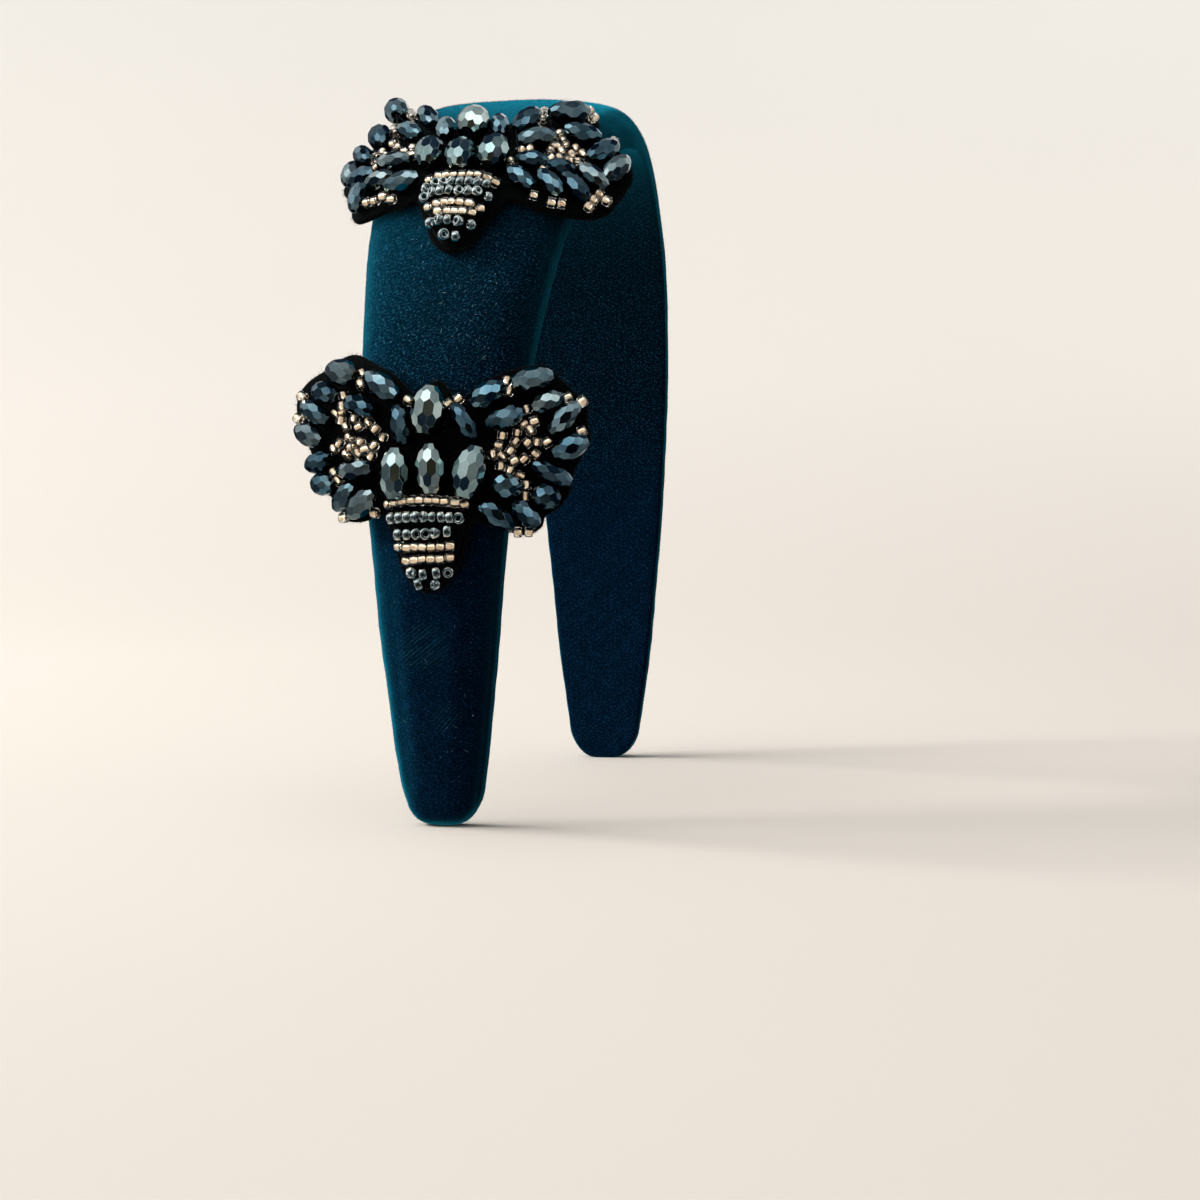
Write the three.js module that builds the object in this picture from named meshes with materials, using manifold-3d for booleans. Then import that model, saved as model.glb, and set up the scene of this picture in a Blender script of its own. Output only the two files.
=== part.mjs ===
import * as THREE from 'three';
import Module from 'manifold-3d';

// A padded velvet headband with two beaded bees sewn on black felt.
// Millimetres, +Z up. The band stands on its two tips, its front edge faces -Y, and both bees sit on the -X arm.

// Head arch: inside line of the band.
const ARCH_HALF_WIDTH = 67.1; // widest inside half width
const ARCH_SHOULDER = 53.1; // height where the arms start to curve in over the head
const ARCH_RISE = 98.2; // from the shoulder to the inside crown
const TIP_INSET = 1.35; // how far the tips lean in
// Padding.
const CROWN_THICK = 12.5;
const TIP_THICK = 7.1;
const THICK_POWER = 1.2;
const DOME_POWER = 3.3; // boxy dome of the padded section
const EDGE_ROLL = 0.9; // rolled lower edge
// Felt and beads.
const FELT_LIFT = 0.6; // between the velvet and the felt
const FELT_THICK = 1.3;
const SEAT = 0.25; // between the felt and what is sewn on it
const BEAD_SIDES = 8;
const THREAD_WIDTH = 1.0;
// Brings the middle of the whole thing over the origin.
const SHIFT_X = 3.5;
const SHIFT_Y = 1.67;

// Full width of the band by the distance from the tip's flat end.
const WIDTHS = [
  { from: 0, width: 8.0 }, { from: 0.5, width: 9.5 }, { from: 1.3, width: 11.5 }, { from: 2.7, width: 14.1 },
  { from: 6.2, width: 17.7 }, { from: 11.2, width: 19.5 }, { from: 21.2, width: 22.3 }, { from: 37.2, width: 26.0 },
  { from: 53.2, width: 29.0 }, { from: 87.2, width: 35.7 }, { from: 107.2, width: 40.0 }, { from: 137.2, width: 45.9 },
  { from: 162.2, width: 50.8 }, { from: 174, width: 53.6 }, { from: 184.2, width: 55.2 }, { from: 194.4, width: 53.6 },
];
// The padding thins out over the last of each tip.
const TIP_THINNING = [
  { from: 0, share: 0.62 }, { from: 0.8, share: 0.8 }, { from: 1.6, share: 0.93 }, { from: 2.6, share: 1 },
];

// Each bee: along = distance from the crown to its middle, across = its middle fore and aft, droop = how steeply the wings fall away past the band.
// felt: reach of the felt's edge at equal angles round (hubU, hubV). tail: [v, half width] of the tail towards its point.
const BEES = {
  side: {
    along: 104, across: -1, droop: 0.33, hubU: 0.4, hubV: 4, tailU: 0.4,
    felt: [28.7, 27.2, 23.9, 23.2, 22.4, 18.9, 14.0, 13.8, 14.6, 15.8, 17.9, 20.0, 22.3, 24.0, 24.7, 24.0, 22.3, 20.0, 17.9, 15.8, 14.6, 14.3, 17.9, 24.1, 25.9, 26.1, 28.5, 29.5,
      29.8, 31.6, 34.2, 34.6, 35.7, 34.0, 33.2, 32.0, 26.9, 21.9, 16.8, 15.2, 16.4, 18.0, 18.2, 17.1, 15.9, 17.5, 22.0, 26.2, 31.9, 33.8, 34.4, 36.0, 36.2, 35.0, 31.8, 29.3],
    tail: [[11.2, 5.0], [11.8, 9.2], [14.0, 9.1], [16.9, 7.8], [19.7, 7.4], [22.1, 6.2], [24.5, 5.2], [26.7, 3.5], [28.3, 1.6]],
  },
  top: {
    along: 35.5, across: 1, droop: 0.42, hubU: -1.8, hubV: 4, tailU: -1.9,
    felt: [32.0, 30.3, 28.7, 29.0, 27.2, 21.1, 17.8, 14.3, 15.0, 15.8, 16.7, 18.7, 20.7, 22.2, 22.7, 22.3, 20.9, 18.9, 16.9, 16.0, 15.2, 14.5, 16.3, 21.7, 25.7, 29.7, 31.3, 32.5,
      34.1, 35.2, 34.5, 32.6, 28.6, 27.6, 29.2, 26.0, 20.0, 15.9, 13.8, 13.8, 13.4, 13.3, 13.7, 13.6, 13.0, 12.4, 12.9, 14.9, 22.8, 34.5, 34.0, 30.5, 29.8, 31.3, 31.8, 32.1],
    tail: [[10.9, 5.0], [11.6, 8.5], [13.2, 8.7], [15.8, 8.6], [18.0, 7.0], [19.8, 5.6], [22.0, 5.4], [24.2, 3.6], [26.0, 1.6]],
  },
};

// Oval faceted beads: u across the bee (towards the back of the head), v towards its tail, turn from straight across.
const SIDE_BEADS = [
  { name: 'left_1', u: 21.1, v: -16.4, turn: 16, length: 7.6, width: 5.1 },
  { name: 'left_2', u: 11.2, v: -12.7, turn: 34, length: 9.2, width: 4.3 },
  { name: 'left_3', u: 25.2, v: -12.7, turn: 20, length: 6.8, width: 4.4 },
  { name: 'left_4', u: 16.0, v: -9.2, turn: 25, length: 7.8, width: 4.0 },
  { name: 'left_5', u: 27.8, v: -8.7, turn: 33, length: 8.2, width: 3.6 },
  { name: 'left_6', u: 29.0, v: -4.2, turn: 27, length: 7.6, width: 4.0 },
  { name: 'left_7', u: 26.3, v: 1.6, turn: -15, length: 6.4, width: 3.8 },
  { name: 'left_8', u: 16.6, v: 3.6, turn: -3, length: 8.6, width: 4.0 },
  { name: 'left_9', u: 25.0, v: 6.2, turn: 10, length: 5.4, width: 4.0 },
  { name: 'left_10', u: 19.6, v: 9.0, turn: -49, length: 7.0, width: 3.8 },
  { name: 'left_11', u: 14.7, v: 10.5, turn: -35, length: 8.4, width: 4.6 },
  { name: 'right_1', u: -20.6, v: -14.7, turn: -15, length: 8.6, width: 4.4 },
  { name: 'right_2', u: -11.6, v: -11.0, turn: -38, length: 7.8, width: 4.2 },
  { name: 'right_3', u: -23.9, v: -10.4, turn: -26, length: 6.8, width: 3.8 },
  { name: 'right_4', u: -15.2, v: -6.5, turn: -23, length: 8.0, width: 4.2 },
  { name: 'right_5', u: -27.4, v: -7.3, turn: -50, length: 8.6, width: 3.8 },
  { name: 'right_6', u: -28.9, v: -1.4, turn: -28, length: 7.8, width: 4.2 },
  { name: 'right_7', u: -25.3, v: 4.1, turn: 23, length: 8.8, width: 3.6 },
  { name: 'right_8', u: -16.0, v: 7.0, turn: 8, length: 6.3, width: 4.6 },
  { name: 'right_9', u: -24.2, v: 8.8, turn: 18, length: 5.8, width: 4.6 },
  { name: 'right_10', u: -14.3, v: 12.9, turn: 34, length: 8.6, width: 3.8 },
  { name: 'right_11', u: -20.1, v: 12.4, turn: 44, length: 7.0, width: 3.8 },
  { name: 'thorax_1', u: 0.2, v: -7.4, turn: 96, length: 10.4, width: 6.6 },
  { name: 'thorax_2', u: 6.6, v: -4.8, turn: 76, length: 8.8, width: 4.1 },
  { name: 'thorax_3', u: -7.4, v: -5.4, turn: 55, length: 8.8, width: 4.0 },
  { name: 'thorax_4', u: 6.9, v: 4.9, turn: 92, length: 10.9, width: 6.2 },
  { name: 'thorax_5', u: -0.9, v: 4.0, turn: 88, length: 10.6, width: 6.0 },
  { name: 'thorax_6', u: -8.8, v: 4.5, turn: 103, length: 11.2, width: 6.5 },
];
// string: the sewing thread that a bead hangs on; the beads of one string are one solid.
const TOP_BEADS = [
  { string: 'left_upper', u: 11.5, v: -8.6, turn: 58, length: 9.0, width: 4.3 },
  { string: 'left_upper', u: 21.3, v: -16.2, turn: 75, length: 7.6, width: 5.3 },
  { string: 'left_upper', u: 21.9, v: -6.0, turn: 80, length: 7.4, width: 5.0 },
  { string: 'left_upper', u: 14.3, v: -4.4, turn: 40, length: 8.6, width: 4.0 },
  { string: 'left_lower', u: 25.0, v: -1.8, turn: 54, length: 8.0, width: 4.2 },
  { string: 'left_lower', u: 27.4, v: 2.3, turn: 93, length: 7.2, width: 3.8 },
  { string: 'left_lower', u: 23.6, v: 5.4, turn: -20, length: 6.8, width: 4.1 },
  { string: 'left_lower', u: 22.8, v: 11.0, turn: 95, length: 8.0, width: 3.9 },
  { string: 'left_lower', u: 17.5, v: 8.8, turn: 3, length: 8.4, width: 4.1 },
  { string: 'left_lower', u: 12.0, v: 10.6, turn: -16, length: 8.2, width: 4.1 },
  { string: 'left_lower', u: 15.4, v: 4.2, turn: 11, length: 9.2, width: 3.9, from: 4 },
  { string: 'right_upper', u: -15.8, v: -1.0, turn: -25, length: 8.6, width: 4.1 },
  { string: 'right_upper', u: -12.2, v: -6.2, turn: -70, length: 9.0, width: 4.2 },
  { string: 'right_upper', u: -20.0, v: -10.7, turn: -38, length: 9.8, width: 4.8 },
  { string: 'right_upper', u: -24.2, v: -5.7, turn: -6, length: 8.4, width: 4.2 },
  { string: 'right_lower', u: -33.1, v: 1.9, turn: -70, length: 9.0, width: 4.6 },
  { string: 'right_lower', u: -29.4, v: -2.1, turn: -60, length: 9.4, width: 4.4 },
  { string: 'right_lower', u: -28.9, v: 5.7, turn: 31, length: 8.4, width: 4.2 },
  { string: 'right_lower', u: -22.0, v: 5.3, turn: -6, length: 6.2, width: 3.6 },
  { string: 'right_lower', u: -25.9, v: 9.4, turn: 41, length: 9.0, width: 4.1 },
  { string: 'right_lower', u: -20.6, v: 10.2, turn: 42, length: 7.8, width: 4.1 },
  { string: 'right_lower', u: -14.7, v: 10.3, turn: 37, length: 8.0, width: 4.0 },
  { string: 'right_lower', u: -16.2, v: 5.2, turn: -3, length: 7.0, width: 3.7 },
  { name: 'thorax_1', u: -1.0, v: -3.7, turn: 97, length: 8.2, width: 6.9 },
  { name: 'thorax_2', u: 5.8, v: -3.7, turn: 84, length: 6.8, width: 4.3 },
  { name: 'thorax_3', u: -6.6, v: -4.3, turn: 78, length: 7.4, width: 4.0 },
  { name: 'thorax_4', u: 6.9, v: 4.5, turn: 92, length: 8.4, width: 6.1 },
  { name: 'thorax_5', u: -0.5, v: 5.5, turn: 90, length: 8.8, width: 6.3 },
  { name: 'thorax_6', u: -7.9, v: 4.9, turn: 97, length: 8.6, width: 6.6 },
];
// Patches of seed beads in the middle of each wing, spread from their middles to the beads round them.
const SEED_PATCHES = [
  { bee: 'side', name: 'left_seeds', u: 18.4, v: -2.8 },
  { bee: 'side', name: 'right_seeds', u: -20.6, v: -0.6 },
  { bee: 'top', name: 'left_seeds', u: 19.2, v: 0.6 },
  { bee: 'top', name: 'right_seeds', u: -22.2, v: 0.6 },
];
const SEED_PATCH_REACH = 7.5;
const SEED_PATCH_HEIGHT = 2.2;
// The tail's mound stays high next to the thorax and falls to its edge all round the rest.
const TAIL_HEIGHT = 4.2;
const TAIL_EDGE = 1.7;
const TAIL_MIDDLE = 7; // from the tail's first row to the top of the mound
const TAIL_HIGH_END = 0.4;

// Smooth reading of a table between its rows.
function curve(rows, x, y) {
  const n = rows.length;
  const slope = [];
  for (let i = 0; i < n - 1; i++) slope.push((rows[i + 1][y] - rows[i][y]) / (rows[i + 1][x] - rows[i][x]));
  const tangent = rows.map((_, i) => {
    if (i === 0) return slope[0];
    if (i === n - 1) return slope[n - 2];
    return slope[i - 1] * slope[i] <= 0 ? 0 : (2 * slope[i - 1] * slope[i]) / (slope[i - 1] + slope[i]);
  });
  return (at) => {
    if (at <= rows[0][x]) return rows[0][y];
    if (at >= rows[n - 1][x]) return rows[n - 1][y];
    let i = 0;
    while (at > rows[i + 1][x]) i++;
    const step = rows[i + 1][x] - rows[i][x];
    const t = (at - rows[i][x]) / step;
    const a = rows[i][y], b = rows[i + 1][y], ta = tangent[i] * step, tb = tangent[i + 1] * step;
    return a + t * (ta + t * (3 * (b - a) - 2 * ta - tb + t * (2 * (a - b) + ta + tb)));
  };
}
const widthAt = curve(WIDTHS, 'from', 'width');
const thinningAt = curve(TIP_THINNING, 'from', 'share');

// Length along the arch, from the crown down one arm.
const ARC_STEPS = 900;
const arcLengths = [0];
for (let i = 1; i <= ARC_STEPS; i++) {
  const a = ((i - 1) / ARC_STEPS) * Math.PI * 0.5, b = (i / ARC_STEPS) * Math.PI * 0.5;
  arcLengths.push(arcLengths[i - 1] + Math.hypot(
    ARCH_HALF_WIDTH * (Math.sin(b) - Math.sin(a)), ARCH_RISE * (Math.cos(b) - Math.cos(a))));
}
const CURVED = arcLengths[ARC_STEPS];
const HALF_LENGTH = CURVED + ARCH_SHOULDER;

// Inside point and outward direction at a distance from the crown; negative distances run down the +X arm.
function spine(distance) {
  const side = distance < 0 ? 1 : -1;
  const q = Math.abs(distance);
  if (q >= CURVED) {
    const fall = (q - CURVED) / ARCH_SHOULDER;
    return { x: side * (ARCH_HALF_WIDTH - TIP_INSET * fall * fall), z: ARCH_SHOULDER * (1 - fall), nx: side, nz: 0 };
  }
  let i = 1;
  while (arcLengths[i] < q) i++;
  const t = (i - 1 + (q - arcLengths[i - 1]) / (arcLengths[i] - arcLengths[i - 1])) / ARC_STEPS * Math.PI * 0.5;
  const nx = Math.sin(t) / ARCH_HALF_WIDTH, nz = Math.cos(t) / ARCH_RISE;
  const size = Math.hypot(nx, nz);
  return {
    x: side * ARCH_HALF_WIDTH * Math.sin(t), z: ARCH_SHOULDER + ARCH_RISE * Math.cos(t),
    nx: (side * nx) / size, nz: nz / size,
  };
}
function thickAt(distance) {
  const q = Math.abs(distance);
  const share = Math.pow(q / HALF_LENGTH, THICK_POWER);
  return (CROWN_THICK + (TIP_THICK - CROWN_THICK) * share) * thinningAt(HALF_LENGTH - q);
}
const halfWidthAt = (distance) => widthAt(HALF_LENGTH - Math.abs(distance)) / 2;

// A closed body from points and triangles, faced outwards.
function body(points, triangles) {
  let volume = 0;
  for (const [a, b, c] of triangles) volume += points[a].dot(new THREE.Vector3().crossVectors(points[b], points[c]));
  const geometry = new THREE.BufferGeometry();
  geometry.setAttribute('position', new THREE.Float32BufferAttribute(points.flatMap((p) => [p.x, p.y, p.z]), 3));
  geometry.setIndex(triangles.flatMap(([a, b, c]) => (volume < 0 ? [a, c, b] : [a, b, c])));
  return geometry;
}

// Rows of points joined into a skin, each row a closed loop of the same count.
function skin(rows, triangles, start, count) {
  for (let r = 0; r < rows - 1; r++) {
    for (let k = 0; k < count; k++) {
      const a = start + r * count + k, b = start + r * count + ((k + 1) % count);
      triangles.push([a, b, b + count], [a, b + count, a + count]);
    }
  }
}

function paddedBand() {
  const domePoints = 17;
  const stations = [];
  const near = [0, 0.5, 1.3, 2.7, 4.4, 6.2, 8.6];
  for (const d of near) stations.push(HALF_LENGTH - d);
  const rest = HALF_LENGTH - 11.2;
  const steps = 33;
  for (let i = 0; i < steps; i++) stations.push(rest * (1 - i / steps));
  const all = [...stations, 0, ...stations.slice().reverse().map((d) => -d)];
  const points = [];
  for (const d of all) {
    const s = spine(d), half = halfWidthAt(d), thick = thickAt(d);
    const place = (y, n) => points.push(new THREE.Vector3(s.x + s.nx * n + SHIFT_X, y + SHIFT_Y, s.z + s.nz * n));
    for (let k = 0; k < domePoints; k++) {
      const angle = ((k / (domePoints - 1)) * 2 - 1) * Math.PI * 0.5;
      const y = Math.sign(angle) * Math.pow(Math.abs(Math.sin(angle)), 2 / DOME_POWER) * half;
      const n = EDGE_ROLL + Math.pow(Math.max(0, Math.cos(angle)), 2 / DOME_POWER) * (thick - EDGE_ROLL);
      place(k === (domePoints - 1) / 2 ? 0 : y, k === 0 || k === domePoints - 1 ? EDGE_ROLL : n);
    }
    place(half - EDGE_ROLL, 0);
    place(-half + EDGE_ROLL, 0);
  }
  const count = domePoints + 2;
  const triangles = [];
  skin(all.length, triangles, 0, count);
  const last = (all.length - 1) * count;
  for (let k = 1; k < count - 1; k++) {
    triangles.push([0, k + 1, k], [last, last + k, last + k + 1]);
  }
  return body(points, triangles);
}

// How far the bee's felt falls below the crown of the band: it lies on the dome until that gets steeper than the droop, then runs on straight.
function fall(y, half, thick, droop) {
  const slope = (x) => (thick / half) * Math.pow(x, DOME_POWER - 1) * Math.pow(1 - Math.pow(x, DOME_POWER), 1 / DOME_POWER - 1);
  let low = 0, high = 0.98;
  for (let i = 0; i < 40; i++) {
    const mid = (low + high) / 2;
    if (slope(mid) < droop) low = mid; else high = mid;
  }
  const x = Math.min(Math.abs(y) / half, low);
  return thick * (1 - Math.pow(1 - Math.pow(x, DOME_POWER), 1 / DOME_POWER)) + droop * Math.max(0, Math.abs(y) - low * half);
}
// A point over the bee: height is measured up from the underside of the felt.
function overBee(bee, u, v, height) {
  const d = bee.along + v, y = bee.across + u;
  const s = spine(d), thick = thickAt(d);
  const n = thick + FELT_LIFT + height - fall(y, halfWidthAt(d), thick, bee.droop);
  return new THREE.Vector3(s.x + s.nx * n + SHIFT_X, y + SHIFT_Y, s.z + s.nz * n);
}
function frameOnBee(bee, u, v) {
  const step = 0.2;
  const across = overBee(bee, u + step, v, FELT_THICK).sub(overBee(bee, u - step, v, FELT_THICK)).normalize();
  const along = overBee(bee, u, v + step, FELT_THICK).sub(overBee(bee, u, v - step, FELT_THICK)).normalize();
  const up = new THREE.Vector3().crossVectors(across, along).normalize();
  return { at: overBee(bee, u, v, FELT_THICK), across, along: new THREE.Vector3().crossVectors(up, across).normalize(), up };
}

// A pad lying on the bee's surface: closed outline [u, v], rows of { share, top } from the middle out, flat underside.
// A row's top is one height or a height for each point of the outline.
function pad(bee, hub, outline, rows, crown, under, underShares) {
  const count = outline.length;
  const points = [overBee(bee, hub[0], hub[1], crown)];
  const ring = (share, height) => {
    outline.forEach(([u, v], k) => {
      const up = typeof height === 'function' ? height(k) : height;
      points.push(overBee(bee, hub[0] + (u - hub[0]) * share, hub[1] + (v - hub[1]) * share, up));
    });
  };
  for (const row of rows) ring(row.share, row.top);
  for (const share of underShares) ring(share, under);
  points.push(overBee(bee, hub[0], hub[1], under));
  const triangles = [];
  const rings = rows.length + underShares.length;
  skin(rings, triangles, 1, count);
  const lastRing = 1 + (rings - 1) * count, end = points.length - 1;
  for (let k = 0; k < count; k++) {
    const next = (k + 1) % count;
    triangles.push([0, 1 + next, 1 + k], [end, lastRing + k, lastRing + next]);
  }
  return body(points, triangles);
}

function feltBacking(bee) {
  const outline = bee.felt.map((reach, k) => {
    const angle = (k / bee.felt.length) * Math.PI * 2;
    return [bee.hubU + reach * Math.cos(angle), bee.hubV + reach * Math.sin(angle)];
  });
  const shares = [0.28, 0.44, 0.57, 0.69, 0.8, 0.9, 1];
  return pad(bee, [bee.hubU, bee.hubV], outline, shares.map((share) => ({ share, top: FELT_THICK })), FELT_THICK, 0, shares.slice().reverse());
}

function tail(bee) {
  const left = bee.tail.map(([v, half]) => [bee.tailU + half, v]);
  const right = bee.tail.map(([v, half]) => [bee.tailU - half, v]).reverse();
  const outline = [...left, ...right];
  const base = FELT_THICK + SEAT;
  const rows = [0.35, 0.6, 0.8, 0.93, 1].map((share) => ({
    share,
    top: (k) => base + TAIL_EDGE + (TAIL_HEIGHT - TAIL_EDGE) * Math.sqrt(1 - share ** 4 * (k === 0 || k === outline.length - 1 ? TAIL_HIGH_END : 1)),
  }));
  return pad(bee, [bee.tailU, bee.tail[0][0] + TAIL_MIDDLE], outline, rows, base + TAIL_HEIGHT, base, [1, 0.6, 0.3]);
}

// Distance from a point to a bead's outline seen from above; negative inside.
function clearOf(bead, u, v) {
  const turn = THREE.MathUtils.degToRad(bead.turn);
  const du = u - bead.u, dv = v - bead.v;
  const a = -Math.cos(turn) * du + Math.sin(turn) * dv;
  const b = Math.sin(turn) * du + Math.cos(turn) * dv;
  const reach = Math.hypot(a, b);
  if (reach < 1e-6) return -bead.width / 2;
  const edge = 1 / Math.hypot(a / reach / (bead.length / 2), b / reach / (bead.width / 2));
  return reach - edge;
}
function seedPatch(bee, beads, patch) {
  const rays = 18;
  let reaches = [];
  for (let k = 0; k < rays; k++) {
    const angle = (k / rays) * Math.PI * 2;
    let reach = 1;
    const clear = (r) => beads.every((bead) => clearOf(bead, patch.u + r * Math.cos(angle), patch.v + r * Math.sin(angle)) > 0.55);
    while (reach < SEED_PATCH_REACH && clear(reach + 0.1)) reach += 0.1;
    reaches.push(reach);
  }
  reaches = reaches.map((r, k) => Math.min(r, 1.3 * Math.min(reaches[(k + 1) % rays], reaches[(k + rays - 1) % rays])));
  const outline = reaches.map((r, k) => {
    const angle = (k / rays) * Math.PI * 2;
    return [patch.u + r * Math.cos(angle), patch.v + r * Math.sin(angle)];
  });
  const base = FELT_THICK + SEAT;
  const rows = [{ share: 0.55, top: base + SEED_PATCH_HEIGHT * 0.95 }, { share: 0.9, top: base + SEED_PATCH_HEIGHT * 0.72 }, { share: 1, top: base + SEED_PATCH_HEIGHT * 0.4 }];
  return pad(bee, [patch.u, patch.v], outline, rows, base + SEED_PATCH_HEIGHT, base, [1, 0.5]);
}

// An oval bead cut in flats, lying on the felt along its turn.
function beadSeat(bee, bead) {
  const frame = frameOnBee(bee, bead.u, bead.v);
  const turn = THREE.MathUtils.degToRad(bead.turn);
  const axis = frame.across.clone().multiplyScalar(-Math.cos(turn)).addScaledVector(frame.along, Math.sin(turn)).normalize();
  const side = new THREE.Vector3().crossVectors(frame.up, axis).normalize();
  const middle = frame.at.clone().addScaledVector(frame.up, SEAT + bead.width / 2);
  return { axis, side, up: frame.up, middle };
}
const BEAD_ROWS = [
  { along: -1, reach: 0.4 }, { along: -0.55, reach: 0.84 }, { along: 0, reach: 1 }, { along: 0.55, reach: 0.84 }, { along: 1, reach: 0.4 },
];
function ovalBead(bee, bead) {
  const seat = beadSeat(bee, bead);
  const points = [];
  BEAD_ROWS.forEach((row, r) => {
    for (let k = 0; k < BEAD_SIDES; k++) {
      const angle = ((k + (r % 2) * 0.5) / BEAD_SIDES) * Math.PI * 2;
      const reach = row.reach * bead.width * 0.5;
      points.push(seat.middle.clone().addScaledVector(seat.axis, row.along * bead.length * 0.5)
        .addScaledVector(seat.side, Math.cos(angle) * reach).addScaledVector(seat.up, Math.sin(angle) * reach));
    }
  });
  const triangles = [];
  for (let r = 0; r < BEAD_ROWS.length - 1; r++) {
    for (let k = 0; k < BEAD_SIDES; k++) {
      const next = (k + 1) % BEAD_SIDES, a = r * BEAD_SIDES, b = a + BEAD_SIDES;
      if (r % 2 === 0) triangles.push([a + k, a + next, b + k], [a + next, b + next, b + k]);
      else triangles.push([a + k, a + next, b + next], [a + k, b + next, b + k]);
    }
  }
  const end = (BEAD_ROWS.length - 1) * BEAD_SIDES;
  for (let k = 1; k < BEAD_SIDES - 1; k++) triangles.push([0, k + 1, k], [end, end + k, end + k + 1]);
  return body(points, triangles);
}

// A straight run of thread between two bead middles.
function threadRun(from, to) {
  const axis = to.clone().sub(from);
  const geometry = new THREE.CylinderGeometry(THREAD_WIDTH / 2, THREAD_WIDTH / 2, axis.length(), 6);
  geometry.applyQuaternion(new THREE.Quaternion().setFromUnitVectors(new THREE.Vector3(0, 1, 0), axis.normalize()));
  geometry.translate((from.x + to.x) / 2, (from.y + to.y) / 2, (from.z + to.z) / 2);
  return geometry;
}

const wasm = await Module();
wasm.setup();
const { Manifold, Mesh } = wasm;

function toSolid(geometry) {
  const position = geometry.attributes.position, index = geometry.index;
  const seen = new Map(), properties = [], vertices = [];
  for (let i = 0; i < index.count; i++) {
    const k = index.getX(i);
    const key = [position.getX(k), position.getY(k), position.getZ(k)].map((c) => c.toFixed(5)).join(',');
    if (!seen.has(key)) {
      seen.set(key, seen.size);
      properties.push(position.getX(k), position.getY(k), position.getZ(k));
    }
    vertices.push(seen.get(key));
  }
  const kept = [];
  for (let i = 0; i < vertices.length; i += 3) {
    const [a, b, c] = vertices.slice(i, i + 3);
    if (a !== b && b !== c && c !== a) kept.push(a, b, c);
  }
  return new Manifold(new Mesh({ numProp: 3, vertProperties: new Float32Array(properties), triVerts: new Uint32Array(kept) }));
}
function fromSolid(solid) {
  const mesh = solid.getMesh();
  const points = [];
  for (let i = 0; i < mesh.vertProperties.length; i += mesh.numProp) {
    points.push(mesh.vertProperties[i], mesh.vertProperties[i + 1], mesh.vertProperties[i + 2]);
  }
  const geometry = new THREE.BufferGeometry();
  geometry.setAttribute('position', new THREE.Float32BufferAttribute(points, 3));
  geometry.setIndex(Array.from(mesh.triVerts));
  return geometry;
}
function beadString(bee, beads) {
  const middles = beads.map((bead) => beadSeat(bee, bead).middle);
  const solids = beads.map((bead) => toSolid(ovalBead(bee, bead)));
  beads.forEach((bead, i) => {
    if (i > 0) solids.push(toSolid(threadRun(middles[bead.from ?? i - 1], middles[i])));
  });
  return fromSolid(Manifold.union(solids));
}

const group = new THREE.Group();
group.name = 'velvet_headband';
const LOOKS = {
  velvet: { color: 0x0a3247, roughness: 0.95, metalness: 0 },
  felt: { color: 0x08090b, roughness: 0.95, metalness: 0 },
  glass: { color: 0x33475a, roughness: 0.16, metalness: 0.35 },
  gold: { color: 0xb9967a, roughness: 0.25, metalness: 0.6 },
  paving: { color: 0x39454f, roughness: 0.25, metalness: 0.5 },
};
function add(name, geometry, look) {
  const mesh = new THREE.Mesh(geometry, new THREE.MeshStandardMaterial(LOOKS[look]));
  mesh.name = name;
  group.add(mesh);
}

add('padded_band', paddedBand(), 'velvet');
for (const [name, bee] of Object.entries(BEES)) {
  const beads = name === 'side' ? SIDE_BEADS : TOP_BEADS;
  add(`${name}_bee_backing`, feltBacking(bee), 'felt');
  add(`${name}_bee_abdomen`, tail(bee), 'paving');
  for (const patch of SEED_PATCHES.filter((p) => p.bee === name)) add(`${name}_bee_${patch.name}`, seedPatch(bee, beads, patch), 'gold');
  for (const bead of beads.filter((b) => b.name)) add(`${name}_bee_${bead.name}`, ovalBead(bee, bead), 'glass');
  const strings = new Set(beads.filter((b) => b.string).map((b) => b.string));
  for (const string of strings) add(`${name}_bee_${string}`, beadString(bee, beads.filter((b) => b.string === string)), 'glass');
}

export default group;
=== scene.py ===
import math
import random

import bmesh
import bpy
import numpy as np
from mathutils import Matrix, Vector


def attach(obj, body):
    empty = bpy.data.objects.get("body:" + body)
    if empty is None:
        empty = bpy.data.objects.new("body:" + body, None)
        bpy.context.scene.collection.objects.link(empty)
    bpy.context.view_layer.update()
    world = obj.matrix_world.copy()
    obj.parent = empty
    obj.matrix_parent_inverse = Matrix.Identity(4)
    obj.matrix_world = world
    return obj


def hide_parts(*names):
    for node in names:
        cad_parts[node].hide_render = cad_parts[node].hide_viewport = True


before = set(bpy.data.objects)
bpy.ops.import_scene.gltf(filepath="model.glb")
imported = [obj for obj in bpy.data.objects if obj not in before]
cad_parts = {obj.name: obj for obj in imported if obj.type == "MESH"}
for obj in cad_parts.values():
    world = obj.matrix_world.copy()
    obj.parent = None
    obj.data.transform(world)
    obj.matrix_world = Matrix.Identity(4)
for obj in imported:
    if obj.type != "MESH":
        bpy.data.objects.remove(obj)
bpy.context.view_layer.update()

MM = 0.001
SCENE = bpy.context.scene

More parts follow.
